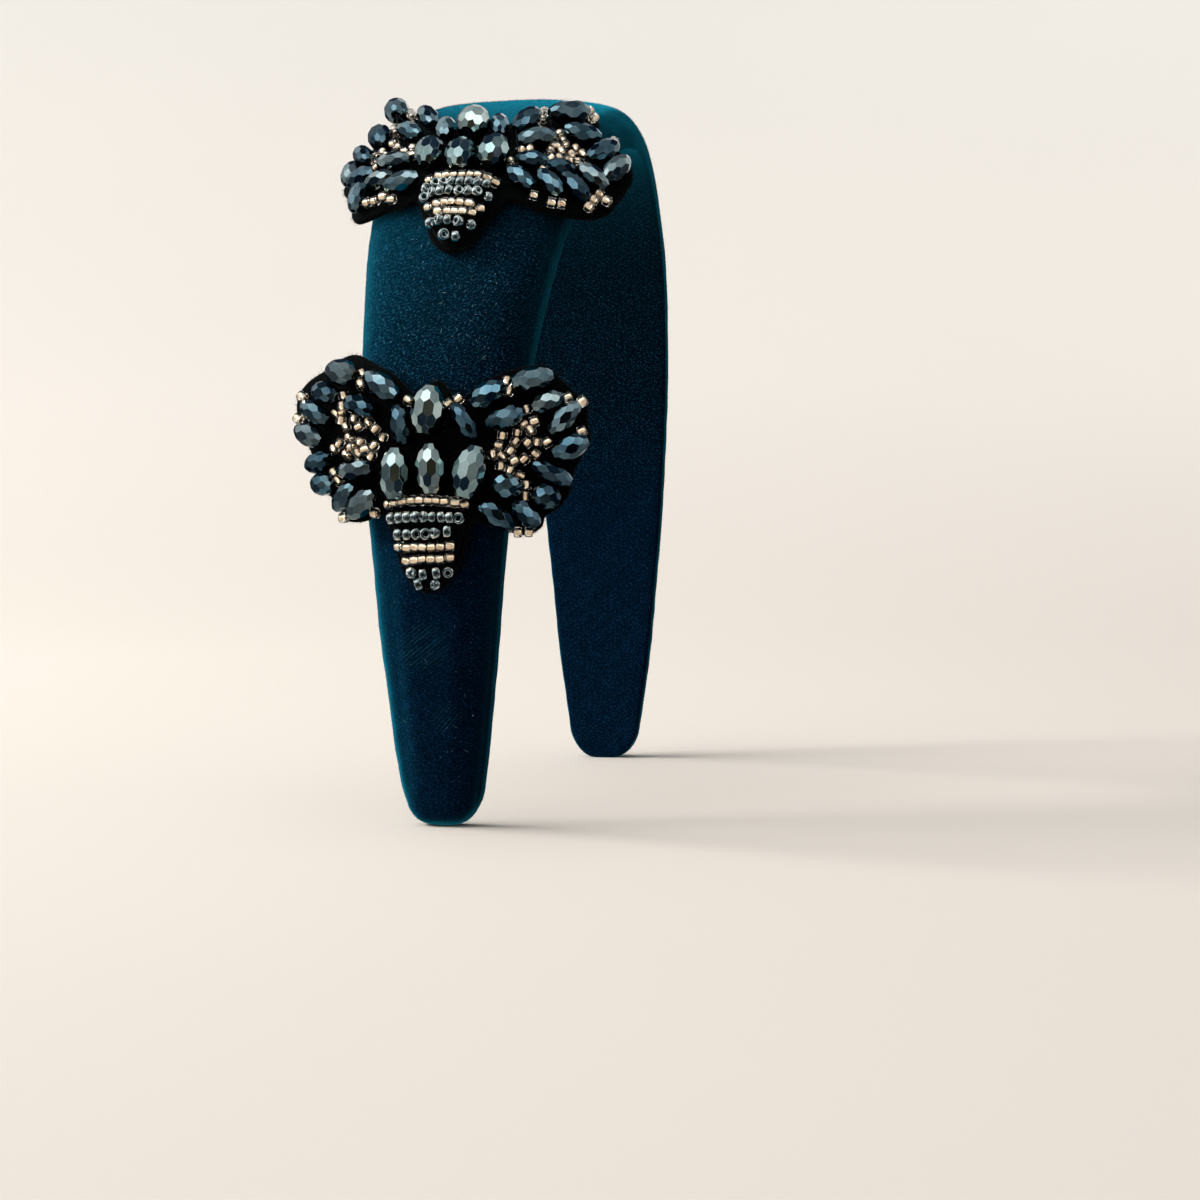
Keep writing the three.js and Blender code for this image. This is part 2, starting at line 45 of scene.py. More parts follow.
# ---------------------------------------------------------------------------------------------------------------------
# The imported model's own route and tables, in millimetres.
ARCH_HALF_WIDTH, ARCH_SHOULDER, ARCH_RISE, TIP_INSET = 67.1, 53.1, 98.2, 1.35
CROWN_THICK, TIP_THICK, THICK_POWER, DOME_POWER, EDGE_ROLL = 12.5, 7.1, 1.2, 3.3, 0.9
FELT_LIFT, FELT_THICK, SEAT = 0.6, 1.3, 0.25
SHIFT_X, SHIFT_Y = 3.5, 1.67
WIDTHS = [(0, 8.0), (0.5, 9.5), (1.3, 11.5), (2.7, 14.1), (6.2, 17.7), (11.2, 19.5), (21.2, 22.3), (37.2, 26.0), (53.2, 29.0),
          (87.2, 35.7), (107.2, 40.0), (137.2, 45.9), (162.2, 50.8), (174, 53.6), (184.2, 55.2), (194.4, 53.6)]
TIP_THINNING = [(0, 0.62), (0.8, 0.8), (1.6, 0.93), (2.6, 1.0)]
BEES = {
    "side": dict(along=104, across=-1, droop=0.33, hub=(0.4, 4), tail_u=0.4, felt=[
        28.7, 27.2, 23.9, 23.2, 22.4, 18.9, 14.0, 13.8, 14.6, 15.8, 17.9, 20.0, 22.3, 24.0, 24.7, 24.0, 22.3, 20.0, 17.9, 15.8, 14.6, 14.3, 17.9, 24.1, 25.9, 26.1, 28.5, 29.5,
        29.8, 31.6, 34.2, 34.6, 35.7, 34.0, 33.2, 32.0, 26.9, 21.9, 16.8, 15.2, 16.4, 18.0, 18.2, 17.1, 15.9, 17.5, 22.0, 26.2, 31.9, 34.2, 35.8, 38.0, 38.1, 35.6, 31.8, 29.3],
        tail=[(11.2, 5.0), (11.8, 9.2), (14.0, 9.1), (16.9, 7.8), (19.7, 7.4), (22.1, 6.2), (24.5, 5.2), (26.7, 3.5), (28.3, 1.6)]),
    "top": dict(along=35.5, across=1, droop=0.42, hub=(-1.8, 4), tail_u=-1.9, felt=[
        32.0, 30.3, 28.7, 29.0, 27.2, 21.1, 17.8, 14.3, 15.0, 15.8, 16.7, 18.7, 20.7, 22.2, 22.7, 22.3, 20.9, 18.9, 16.9, 16.0, 15.2, 14.5, 16.3, 21.7, 26.3, 31.0, 33.0, 33.6,
        34.4, 35.2, 34.5, 32.6, 28.8, 28.4, 30.8, 28.4, 21.3, 15.9, 13.8, 13.8, 13.4, 13.3, 13.7, 13.6, 13.0, 12.4, 12.9, 14.9, 22.8, 34.5, 34.0, 30.5, 29.8, 31.3, 31.8, 32.1],
        tail=[(10.9, 5.0), (11.6, 8.5), (13.2, 8.7), (15.8, 8.6), (18.0, 7.0), (19.8, 5.6), (22.0, 5.4), (24.2, 3.6), (26.0, 1.6)]),
}
# u, v, turn, length, width of each oval bead, by the CAD node that it is or belongs to.
SIDE_BEADS = {
    "left_1": (21.1, -16.4, 16, 7.6, 5.1), "left_2": (11.2, -12.7, 34, 9.2, 4.3), "left_3": (25.2, -12.7, 20, 6.8, 4.4),
    "left_4": (16.0, -9.2, 25, 7.8, 4.0), "left_5": (27.8, -8.7, 33, 8.2, 3.6), "left_6": (29.0, -4.2, 27, 7.6, 4.0),
    "left_7": (26.3, 1.6, -15, 6.4, 3.8), "left_8": (16.6, 3.6, -3, 8.6, 4.0), "left_9": (25.0, 6.2, 10, 5.4, 4.0),
    "left_10": (19.6, 9.0, -49, 7.0, 3.8), "left_11": (14.7, 10.5, -35, 8.4, 4.6),
    "right_1": (-20.6, -14.7, -15, 8.6, 4.4), "right_2": (-11.6, -11.0, -38, 7.8, 4.2), "right_3": (-23.9, -10.4, -26, 6.8, 3.8),
    "right_4": (-15.2, -6.5, -23, 8.0, 4.2), "right_5": (-27.4, -7.3, -50, 8.6, 3.8), "right_6": (-28.9, -1.4, -28, 7.8, 4.2),
    "right_7": (-25.3, 4.1, 23, 8.8, 3.6), "right_8": (-16.0, 7.0, 8, 6.3, 4.6), "right_9": (-24.2, 8.8, 18, 5.8, 4.6),
    "right_10": (-14.3, 12.9, 34, 8.6, 3.8), "right_11": (-20.1, 12.4, 44, 7.0, 3.8),
    "thorax_1": (0.2, -7.4, 96, 10.4, 6.6), "thorax_2": (6.6, -4.8, 76, 8.8, 4.1), "thorax_3": (-7.4, -5.4, 55, 8.8, 4.0),
    "thorax_4": (6.9, 4.9, 92, 10.9, 6.2), "thorax_5": (-0.9, 4.0, 88, 10.6, 6.0), "thorax_6": (-8.8, 4.5, 103, 11.2, 6.5),
}
TOP_BEADS = {
    "thorax_1": (-1.0, -3.7, 97, 8.2, 6.9),
    "thorax_2": (5.8, -3.7, 84, 6.8, 4.3),
    "thorax_3": (-6.6, -4.3, 78, 7.4, 4.0),
    "thorax_4": (6.9, 4.5, 92, 8.4, 6.1),
    "thorax_5": (-0.5, 5.5, 90, 8.8, 6.3),
    "thorax_6": (-7.9, 4.9, 97, 8.6, 6.6),
}
TOP_STRINGS = {
    "left_upper": [
        (11.5, -8.6, 58, 9.0, 4.3),
        (21.3, -16.2, 75, 7.6, 5.3),
        (21.9, -6.0, 80, 7.4, 5.0),
        (14.3, -4.4, 40, 8.6, 4.0),
    ],
    "left_lower": [
        (25.0, -1.8, 54, 8.0, 4.2),
        (27.4, 2.3, 93, 7.2, 3.8),
        (23.6, 5.4, -20, 6.8, 4.1),
        (22.8, 11.0, 95, 8.0, 3.9),
        (17.5, 8.8, 3, 8.4, 4.1),
        (12.0, 10.6, -16, 8.2, 4.1),
        (15.4, 4.2, 11, 9.2, 3.9),
    ],
    "right_upper": [
        (-15.8, -1.0, -25, 8.6, 4.1),
        (-12.2, -6.2, -70, 9.0, 4.2),
        (-20.0, -10.7, -38, 9.8, 4.8),
        (-24.2, -5.7, -6, 8.4, 4.2),
    ],
    "right_lower": [
        (-33.1, 1.9, -70, 9.0, 4.6),
        (-29.4, -2.1, -60, 9.4, 4.4),
        (-28.9, 5.7, 31, 8.4, 4.2),
        (-22.0, 5.3, -6, 6.2, 3.6),
        (-25.9, 9.4, 41, 9.0, 4.1),
        (-20.6, 10.2, 42, 7.8, 4.1),
        (-14.7, 10.3, 37, 8.0, 4.0),
        (-16.2, 5.2, -3, 7.0, 3.7),
    ],
}
STRING_FROM = {("left_lower", 6): 4}
TAIL_HEIGHT, TAIL_EDGE, TAIL_MIDDLE, TAIL_HIGH_END = 4.2, 1.7, 7.0, 0.4

# Small seed beads, (u, v) on each bee: gold ones in the middles of the wings, and gold ones at the ends of the oval beads.
WING_SEEDS = {
    ("side", "left"): [(22.9, -8.3), (21.1, -8.6), (21.5, -6.9), (20.1, -5.4), (17.7, -6.9), (16.9, -5.3), (13.9, -5.6), (12.7, -4.5), (10.6, -2.7),
                       (21.6, -2.2), (23.0, -1.0), (18.9, -2.6), (18.5, -1.0), (19.4, 0.1), (16.1, -2.1), (15.0, -0.4), (12.7, -0.8), (13.1, 0.6), (16.8, -0.1)],
    ("side", "right"): [(-15.0, -3.2), (-14.3, -1.2), (-13.6, 0.9), (-14.9, 1.1), (-18.0, -3.8), (-17.6, -2.1), (-16.8, -0.3), (-18.3, -5.7), (-21.3, -6.2),
                        (-20.8, -4.6), (-20.2, -2.0), (-22.1, -2.3), (-24.1, -2.2), (-21.9, 0.3), (-19.7, 1.3), (-17.5, 1.9), (-14.8, 3.0), (-16.7, 4.0), (-18.3, 5.1)],
    ("top", "left"): [(20.6, -1.5), (19.4, 0.4), (16.9, -0.9), (15.8, 1.2), (14.2, 1.0), (12.9, 0.9), (11.9, 2.5), (20.4, 2.6), (18.0, -3.2), (21.6, 1.6)],
    ("top", "right"): [(-19.5, 0.6), (-19.4, 2.4), (-21.4, 0.6), (-19.1, 4.0), (-20.3, 6.0), (-21.2, 3.4), (-23.5, 0.7), (-24.1, -1.4), (-25.6, -0.6), (-23.1, 2.4),
                       (-25.1, 2.4), (-21.8, -1.4), (-13.4, 2.4), (-14.9, 1.9)],
}
SPACERS = {
    "side": [(16.5, -15.4, 60), (16.6, -14.0, 60), (21.2, -11.3, 80), (21.1, -10.0, 80), (32.0, -12.7, 30), (32.7, -8.1, 30), (22.8, 4.2, 50), (21.6, 5.6, 50),
             (20.0, 13.2, 0), (16.2, 13.5, 0), (5.2, -9.8, 30), (-15.3, -13.6, 95), (-15.6, -12.2, 95), (-27.8, -11.7, -30), (-30.2, -10.3, -40), (-19.5, -8.5, 70),
             (-31.1, -4.8, -30), (-19.9, 7.1, 88), (-20.0, 8.4, 88), (-18.4, 16.1, 0), (-21.2, 15.6, 0), (-4.6, -8.9, -40), (-3.6, -8.3, -40)],
    "top": [(17.5, -13.6, 70), (16.2, -11.6, 70), (19.8, -8.6, 70), (18.0, -5.6, 70), (22.9, -0.9, 40), (19.8, 13.1, 0), (18.0, 13.4, 0), (15.6, 13.0, 0),
            (13.6, 14.4, 0), (-14.6, -9.8, 80), (-15.4, -7.4, 80), (-22.7, -14.2, -60), (-23.3, -12.2, -60), (-20.1, -3.2, 60), (-20.9, -2.4, 60), (-32.2, -5.4, 20),
            (-11.3, 5.1, 60), (-18.1, 13.8, 0), (-22.3, 14.4, 0), (-23.6, 14.2, 0), (-29.6, 11.0, 30), (-29.4, 13.0, 30), (-31.4, 9.6, 20), (-32.6, 10.4, 20)],
}
# Rows of the abdomen from the thorax down, (u, v), gold and dark by turns.
TAIL_ROWS = {
    "side": [
        ("gold", [(8.9 - 1.88 * k, 10.1 + 0.010 * (8.9 - 1.88 * k - 0.4) ** 2) for k in range(10)]),
        ("dark", [(8.0 - 1.9 * k, 13.4 + 0.004 * (8.0 - 1.9 * k - 0.4) ** 2) for k in range(9)]),
        ("dark", [(6.3, 16.8), (4.2, 16.8), (2.2, 16.7), (0.1, 16.7), (-2.1, 16.5), (-4.7, 16.2)]),
        ("gold", [(6.0, 19.2), (4.1, 19.4), (2.3, 19.3), (0.5, 19.3), (-1.4, 19.3), (-3.3, 19.2), (-5.2, 19.0)]),
        ("gold", [(4.3, 22.0), (2.5, 21.8), (0.7, 21.6), (-1.2, 21.6), (-3.1, 21.6), (-4.9, 21.3)]),
        ("dark", [(3.4, 24.3), (0.8, 24.6), (-2.2, 24.3), (-4.5, 24.1)]),
        ("dark", [(2.1, 26.6), (-1.7, 26.6)]),
    ],
    "top": [
        ("gold", [(5.3, 10.9), (3.3, 10.5), (1.6, 10.4), (-0.3, 10.3), (-2.3, 10.3), (-4.2, 10.3), (-6.0, 10.5), (-7.9, 11.1), (-9.7, 11.6)]),
        ("dark", [(5.8, 13.2), (3.7, 12.4), (1.9, 12.4), (0.0, 12.3), (-2.1, 12.5), (-4.1, 12.5), (-6.2, 12.6), (-8.3, 12.9)]),
        ("dark", [(5.6, 15.7), (3.8, 14.8), (1.9, 14.7), (0.0, 14.6), (-2.4, 14.9), (-4.4, 14.9), (-6.6, 15.0), (-9.2, 15.9)]),
        ("gold", [(3.8, 18.1), (1.9, 17.7), (0.2, 17.5), (-1.6, 17.4), (-3.5, 17.6), (-5.6, 17.8), (-7.7, 18.5)]),
        ("gold", [(1.2, 19.5), (-0.8, 19.6), (-2.7, 19.7), (-4.5, 19.7), (-6.3, 19.7)]),
        ("dark", [(2.9, 21.6), (0.9, 21.4), (-1.3, 21.6), (-3.7, 21.9), (-6.4, 22.2)]),
        ("dark", [(-0.7, 24.5), (-3.5, 24.8)]),
    ],
}


def curve(rows):
    n = len(rows)
    slope = [(rows[i + 1][1] - rows[i][1]) / (rows[i + 1][0] - rows[i][0]) for i in range(n - 1)]
    tangent = [slope[0]]
    for i in range(1, n - 1):
        tangent.append(0.0 if slope[i - 1] * slope[i] <= 0 else 2 * slope[i - 1] * slope[i] / (slope[i - 1] + slope[i]))
    tangent.append(slope[-1])

    def at(x):
        if x <= rows[0][0]:
            return rows[0][1]
        if x >= rows[-1][0]:
            return rows[-1][1]
        i = 0
        while x > rows[i + 1][0]:
            i += 1
        step = rows[i + 1][0] - rows[i][0]
        t = (x - rows[i][0]) / step
        a, b, ta, tb = rows[i][1], rows[i + 1][1], tangent[i] * step, tangent[i + 1] * step
        return a + t * (ta + t * (3 * (b - a) - 2 * ta - tb + t * (2 * (a - b) + ta + tb)))

    return at


width_at, thinning_at = curve(WIDTHS), curve(TIP_THINNING)
ARC_STEPS = 900
_t = np.linspace(0, math.pi / 2, ARC_STEPS + 1)
ARC = np.concatenate([[0], np.cumsum(np.hypot(ARCH_HALF_WIDTH * np.diff(np.sin(_t)), ARCH_RISE * np.diff(np.cos(_t))))])
CURVED = float(ARC[-1])
HALF_LENGTH = CURVED + ARCH_SHOULDER


def spine(distance):
    side, q = (1 if distance < 0 else -1), abs(distance)
    if q >= CURVED:
        drop = (q - CURVED) / ARCH_SHOULDER
        return side * (ARCH_HALF_WIDTH - TIP_INSET * drop * drop), ARCH_SHOULDER * (1 - drop), side, 0.0
    t = float(np.interp(q, ARC, _t))
    nx, nz = math.sin(t) / ARCH_HALF_WIDTH, math.cos(t) / ARCH_RISE
    size = math.hypot(nx, nz)
    return side * ARCH_HALF_WIDTH * math.sin(t), ARCH_SHOULDER + ARCH_RISE * math.cos(t), side * nx / size, nz / size


def thick_at(distance):
    q = abs(distance)
    return (CROWN_THICK + (TIP_THICK - CROWN_THICK) * (q / HALF_LENGTH) ** THICK_POWER) * thinning_at(HALF_LENGTH - q)


def half_at(distance):
    return width_at(HALF_LENGTH - abs(distance)) / 2


def fall(y, half, thick, droop):
    low, high = 0.0, 0.98
    for _ in range(30):
        mid = (low + high) / 2
        if (thick / half) * mid ** (DOME_POWER - 1) * (1 - mid ** DOME_POWER) ** (1 / DOME_POWER - 1) < droop:
            low = mid
        else:
            high = mid
    x = min(abs(y) / half, low)
    return thick * (1 - (1 - x ** DOME_POWER) ** (1 / DOME_POWER)) + droop * max(0.0, abs(y) - low * half)


def over_bee(bee, u, v, height):
    d, y = bee["along"] + v, bee["across"] + u
    x, z, nx, nz = spine(d)
    thick = thick_at(d)
    n = thick + FELT_LIFT + height - fall(y, half_at(d), thick, bee["droop"])
    return Vector((x + nx * n + SHIFT_X, y + SHIFT_Y, z + nz * n))


def frame_on(bee, u, v, height=FELT_THICK):
    s = 0.2
    across = (over_bee(bee, u + s, v, height) - over_bee(bee, u - s, v, height)).normalized()
    along = (over_bee(bee, u, v + s, height) - over_bee(bee, u, v - s, height)).normalized()
    up = across.cross(along).normalized()
    return over_bee(bee, u, v, height), across, up.cross(across).normalized(), up


def bead_seat(bee, bead):
    u, v, turn, length, width = bead
    at, across, along, up = frame_on(bee, u, v)
    a = math.radians(turn)
    axis = (-math.cos(a) * across + math.sin(a) * along).normalized()
    return at + up * (SEAT + width / 2), axis, up.cross(axis).normalized(), up


# ---------------------------------------------------------------------------------------------------------------------
# Camera, at the photograph's place: 3200 pixels of focal length on a 1200 pixel frame.
cam = bpy.data.objects.new("camera", bpy.data.cameras.new("camera"))
SCENE.collection.objects.link(cam)
SCENE.camera = cam
cam.data.sensor_fit, cam.data.sensor_width, cam.data.lens = "AUTO", 36.0, 96.0
cam.data.clip_start, cam.data.clip_end = 0.02, 20.0
_f = Vector((0.9629, 0.2626, -0.0620)).normalized()
_r = Vector((0.2624, -0.9649, -0.0107))
_r = (_r - _f * _r.dot(_f)).normalized()
_u = _r.cross(_f).normalized()
cam.matrix_world = Matrix.Translation(Vector((-0.72928, -0.21565, 0.09240))) @ Matrix((_r, _u, -_f)).transposed().to_4x4()


# ---------------------------------------------------------------------------------------------------------------------
# Materials.
def material(name):
    m = bpy.data.materials.new(name)
    m.use_nodes = True
    nt = m.node_tree
    nt.nodes.clear()
    out, p = nt.nodes.new("ShaderNodeOutputMaterial"), nt.nodes.new("ShaderNodeBsdfPrincipled")
    nt.links.new(p.outputs["BSDF"], out.inputs["Surface"])
    return m, nt, p


def put(p, **values):
    for key, value in values.items():
        p.inputs[key.replace("_", " ")].default_value = value


def node(nt, kind, **values):
    n = nt.nodes.new("ShaderNode" + kind)
    for key, value in values.items():
        if hasattr(n, key):
            setattr(n, key, value)
        else:
            n.inputs[key.replace("_", " ")].default_value = value
    return n


def noise(nt, vector, scale, detail=2.0, rough=0.5, dims="3D"):
    n = node(nt, "TexNoise", noise_dimensions=dims, Scale=scale, Detail=detail, Roughness=rough)
    nt.links.new(vector, n.inputs["Vector"])
    return n.outputs["Fac"]


def ramp(nt, value, stops):
    r = nt.nodes.new("ShaderNodeValToRGB")
    while len(r.color_ramp.elements) < len(stops):
        r.color_ramp.elements.new(0.5)
    for e, (at, colour) in zip(r.color_ramp.elements, stops):
        e.position = at
        e.color = (*colour, 1.0) if hasattr(colour, "__len__") else (colour, colour, colour, 1.0)
    nt.links.new(value, r.inputs["Fac"])
    return r.outputs["Color"]


def mix(nt, kind, factor, a, b):
    m = nt.nodes.new("ShaderNodeMix")
    m.data_type, m.blend_type = "RGBA", kind
    for socket, value in ((m.inputs["Factor"], factor), (m.inputs[6], a), (m.inputs[7], b)):
        if isinstance(value, bpy.types.NodeSocket):
            nt.links.new(value, socket)
        else:
            socket.default_value = (*value, 1.0) if hasattr(value, "__len__") else value
    return m.outputs[2]


def bump(nt, p, height, strength, distance):
    b = node(nt, "Bump", Strength=strength, Distance=distance)
    nt.links.new(height, b.inputs["Height"])
    nt.links.new(b.outputs["Normal"], p.inputs["Normal"])
    return b


def velvet_material():
    m, nt, p = material("velvet")
    uv = node(nt, "UVMap", uv_map="OFBake")
    place = node(nt, "TexCoord").outputs["Object"]
    # The band's own directions in millimetres, turned to the lie of the pile.
    lie = node(nt, "Mapping")
    lie.inputs["Scale"].default_value = (400.0, 130.0, 1.0)
    nt.links.new(uv.outputs["UV"], lie.inputs["Vector"])
    turned = node(nt, "Mapping")
    turned.inputs["Rotation"].default_value = (0, 0, math.radians(-58))
    nt.links.new(lie.outputs["Vector"], turned.inputs["Vector"])
    drawn = node(nt, "Mapping")
    drawn.inputs["Scale"].default_value = (0.50, 1.30, 1.0)
    nt.links.new(turned.outputs["Vector"], drawn.inputs["Vector"])
    fleck = noise(nt, drawn.outputs["Vector"], 2.9, 3.0, 0.62, "2D")
    clump = noise(nt, place, 420.0, 2.0, 0.5)
    patch = noise(nt, place, 48.0, 2.0, 0.5)
    streaks = node(nt, "Mapping")
    streaks.inputs["Scale"].default_value = (0.05, 0.9, 1.0)
    nt.links.new(turned.outputs["Vector"], streaks.inputs["Vector"])
    streak = noise(nt, streaks.outputs["Vector"], 1.0, 3.0, 0.6, "2D")
    base = ramp(nt, fleck, [(0.40, (0.0000, 0.0003, 0.0034)), (0.52, (0.0002, 0.0016, 0.0104)), (0.59, (0.0010, 0.0074, 0.0280)), (0.66, (0.0150, 0.0800, 0.1300))])
    # Lower down each arm the pile lies closer and shows less of its grain, and its colour is painted lighter there to
    # make up for the dimmer light those lower faces get.
    along = node(nt, "SeparateXYZ")
    nt.links.new(lie.outputs["Vector"], along.inputs["Vector"])
    down = node(nt, "Math", operation="SUBTRACT")
    down.inputs[1].default_value = 200.0
    nt.links.new(along.outputs["X"], down.inputs[0])
    arm = node(nt, "Math", operation="ABSOLUTE")
    nt.links.new(down.outputs["Value"], arm.inputs[0])
    lower_arm_grain_and_lift = node(nt, "MapRange", interpolation_type="SMOOTHSTEP", From_Min=88.0, From_Max=124.0, To_Max=0.85)
    nt.links.new(arm.outputs["Value"], lower_arm_grain_and_lift.inputs["Value"])
    base = mix(nt, "MIX", lower_arm_grain_and_lift.outputs["Result"], base, ramp(nt, fleck, [(0.36, (0.0001, 0.0017, 0.0095)), (0.52, (0.0005, 0.0043, 0.0195)), (0.68, (0.0026, 0.0215, 0.0620))]))
    base = mix(nt, "MULTIPLY", 0.55, base, ramp(nt, clump, [(0.3, 0.45), (0.7, 1.35)]))
    base = mix(nt, "MULTIPLY", 0.6, base, ramp(nt, patch, [(0.3, (0.62, 0.66, 0.74)), (0.7, (1.25, 1.2, 1.12))]))
    base = mix(nt, "MULTIPLY", 0.5, base, ramp(nt, streak, [(0.35, 0.7), (0.65, 1.3)]))
    # Two places where the pile has been brushed into fine lines.
    broken = node(nt, "Mapping")
    broken.inputs["Scale"].default_value = (0.16, 0.80, 1.0)
    nt.links.new(turned.outputs["Vector"], broken.inputs["Vector"])
    broken = ramp(nt, noise(nt, broken.outputs["Vector"], 1.0, 2.0, 0.5, "2D"), [(0.38, 0.15), (0.60, 1.0)])
    for (x, y), long, wide, bright, turn in (((199.5, -281.5), 7.5, 7.0, 1.0, 9), ((201.5, -298.5), 5.0, 4.0, 0.8, 20)):
        brushed = node(nt, "Mapping")
        brushed.inputs["Rotation"].default_value = (0, 0, math.radians(turn))
        nt.links.new(turned.outputs["Vector"], brushed.inputs["Vector"])
        lines = node(nt, "TexWave", wave_type="BANDS", bands_direction="Y", Scale=0.38, Distortion=1.1, Detail=1.0, Detail_Scale=0.25)
        nt.links.new(brushed.outputs["Vector"], lines.inputs["Vector"])
        within = node(nt, "Mapping")
        within.inputs["Scale"].default_value, within.inputs["Location"].default_value = (1 / long, 1 / wide, 1.0), (-x / long, -y / wide, 0.0)
        nt.links.new(turned.outputs["Vector"], within.inputs["Vector"])
        away = node(nt, "VectorMath", operation="LENGTH")
        nt.links.new(within.outputs["Vector"], away.inputs[0])
        near = node(nt, "MapRange", interpolation_type="SMOOTHSTEP", From_Min=1.0, From_Max=0.35, To_Max=bright)
        nt.links.new(away.outputs["Value"], near.inputs["Value"])
        near = mix(nt, "MULTIPLY", 1.0, near.outputs["Result"], broken)
        base = mix(nt, "ADD", near, base, ramp(nt, lines.outputs["Fac"], [(0.50, (0.0, 0.0, 0.0)), (0.75, (0.0008, 0.0055, 0.0070)), (0.95, (0.0070, 0.0360, 0.0410))]))
    nt.links.new(base, p.inputs["Base Color"])
    put(p, Roughness=0.95, Sheen_Weight=0.96, Sheen_Roughness=0.40, Specular_IOR_Level=0.02)
    p.inputs["Sheen Tint"].default_value = (0.012, 0.46, 0.67, 1.0)
    bump(nt, p, mix(nt, "ADD", 0.5, ramp(nt, fleck, [(0.25, 0.0), (0.75, 1.0)]), ramp(nt, streak, [(0.3, 0.0), (0.7, 1.0)])), 0.35, 0.0003)
    return m


def pile_material():
    m, nt, p = material("velvet_pile")
    patch = noise(nt, node(nt, "TexCoord").outputs["Object"], 900.0, 1.0)
    nt.links.new(ramp(nt, patch, [(0.35, (0.0002, 0.0022, 0.0092)), (0.60, (0.0014, 0.0130, 0.0360)), (0.78, (0.0100, 0.0600, 0.1050))]), p.inputs["Base Color"])
    put(p, Roughness=0.8, Specular_IOR_Level=0.05)
    return m


def felt_material():
    m, nt, p = material("black_felt")
    place = node(nt, "TexCoord").outputs["Object"]
    fibre = noise(nt, place, 1900.0, 4.0, 0.7)
    matting = noise(nt, place, 320.0, 3.0, 0.6)
    base = ramp(nt, fibre, [(0.35, (0.0006, 0.0008, 0.0009)), (0.55, (0.0018, 0.0023, 0.0024)), (0.74, (0.0075, 0.0092, 0.0088))])
    nt.links.new(mix(nt, "MULTIPLY", 0.6, base, ramp(nt, matting, [(0.3, 0.45), (0.7, 1.4)])), p.inputs["Base Color"])
    put(p, Roughness=0.98, Sheen_Weight=0.03, Sheen_Roughness=0.5, Specular_IOR_Level=0.04)
    p.inputs["Sheen Tint"].default_value = (0.45, 0.55, 0.55, 1.0)
    bump(nt, p, mix(nt, "ADD", 0.5, fibre, matting), 0.7, 0.0004)
    return m


def fuzz_material():
    m, nt, p = material("felt_fuzz")
    tone = noise(nt, node(nt, "TexCoord").outputs["Object"], 700.0, 1.0)
    nt.links.new(ramp(nt, tone, [(0.35, (0.0015, 0.0020, 0.0020)), (0.58, (0.0090, 0.0110, 0.0100)), (0.74, (0.1000, 0.1050, 0.0880))]), p.inputs["Base Color"])
    put(p, Roughness=0.85, Specular_IOR_Level=0.15)
    return m


def glass_material(name, dark, light, rough):
    # Opaque faceted glass with a metal coat.
    m, nt, p = material(name)
    place = node(nt, "TexCoord").outputs["Object"]
    tone = noise(nt, place, 260.0, 2.0, 0.5)
    wear = noise(nt, place, 5200.0, 2.0, 0.5)
    nt.links.new(ramp(nt, tone, [(0.38, dark), (0.62, light)]), p.inputs["Base Color"])
    nt.links.new(ramp(nt, wear, [(0.35, rough * 0.75), (0.75, rough * 1.5)]), p.inputs["Roughness"])
    put(p, Metallic=1.0)
    return m


def seed_materials():
    shell, nt, p = material("gold_seed_glass")
    tone = noise(nt, node(nt, "TexCoord").outputs["Object"], 300.0, 1.0)
    nt.links.new(ramp(nt, tone, [(0.4, (0.93, 0.87, 0.79)), (0.6, (0.98, 0.95, 0.90))]), p.inputs["Base Color"])
    put(p, Roughness=0.04, IOR=1.5, Transmission_Weight=1.0)
    lining, nt, p = material("gold_seed_lining")
    tone = noise(nt, node(nt, "TexCoord").outputs["Object"], 420.0, 2.0)
    nt.links.new(ramp(nt, tone, [(0.4, (0.64, 0.52, 0.39)), (0.6, (0.90, 0.79, 0.64))]), p.inputs["Base Color"])
    nt.links.new(ramp(nt, noise(nt, node(nt, "TexCoord").outputs["Object"], 3000.0, 1.0), [(0.3, 0.08), (0.7, 0.17)]), p.inputs["Roughness"])
    put(p, Metallic=1.0)
    dark, nt, p = material("dark_seed_glass")
    tone = noise(nt, node(nt, "TexCoord").outputs["Object"], 300.0, 2.0)
    # Smoky glass: dark looked straight into, bright where it is looked along.
    rim = ramp(nt, node(nt, "LayerWeight", Blend=0.5).outputs["Facing"], [(0.07, (0.105, 0.140, 0.145)), (0.20, (0.320, 0.365, 0.365)), (0.36, (0.880, 0.930, 0.920))])
    nt.links.new(mix(nt, "MULTIPLY", 1.0, rim, ramp(nt, tone, [(0.4, (0.72, 0.76, 0.78)), (0.6, (1.05, 1.05, 1.04))])), p.inputs["Base Color"])
    nt.links.new(ramp(nt, noise(nt, node(nt, "TexCoord").outputs["Object"], 3000.0, 1.0), [(0.3, 0.04), (0.7, 0.09)]), p.inputs["Roughness"])
    put(p, Metallic=1.0)
    return shell, lining, dark


def thread_material():
    m, nt, p = material("sewing_thread")
    twist = node(nt, "TexWave", Scale=900.0, Distortion=2.0)
    nt.links.new(node(nt, "TexCoord").outputs["Object"], twist.inputs["Vector"])
    nt.links.new(ramp(nt, twist.outputs["Fac"], [(0.2, (0.002, 0.003, 0.004)), (0.8, (0.014, 0.018, 0.022))]), p.inputs["Base Color"])
    put(p, Roughness=0.7, Specular_IOR_Level=0.2)
    return m


# Near-black painted shade for the inside of the bead holes, which are sunk only a little way.
def hole_shade_material():
    m, nt, p = material("bead_hole_shade")
    tone = noise(nt, node(nt, "TexCoord").outputs["Object"], 2000.0, 1.0)
    nt.links.new(ramp(nt, tone, [(0.3, (0.001, 0.002, 0.003)), (0.7, (0.006, 0.009, 0.012))]), p.inputs["Base Color"])
    put(p, Roughness=0.6, Specular_IOR_Level=0.1)
    return m


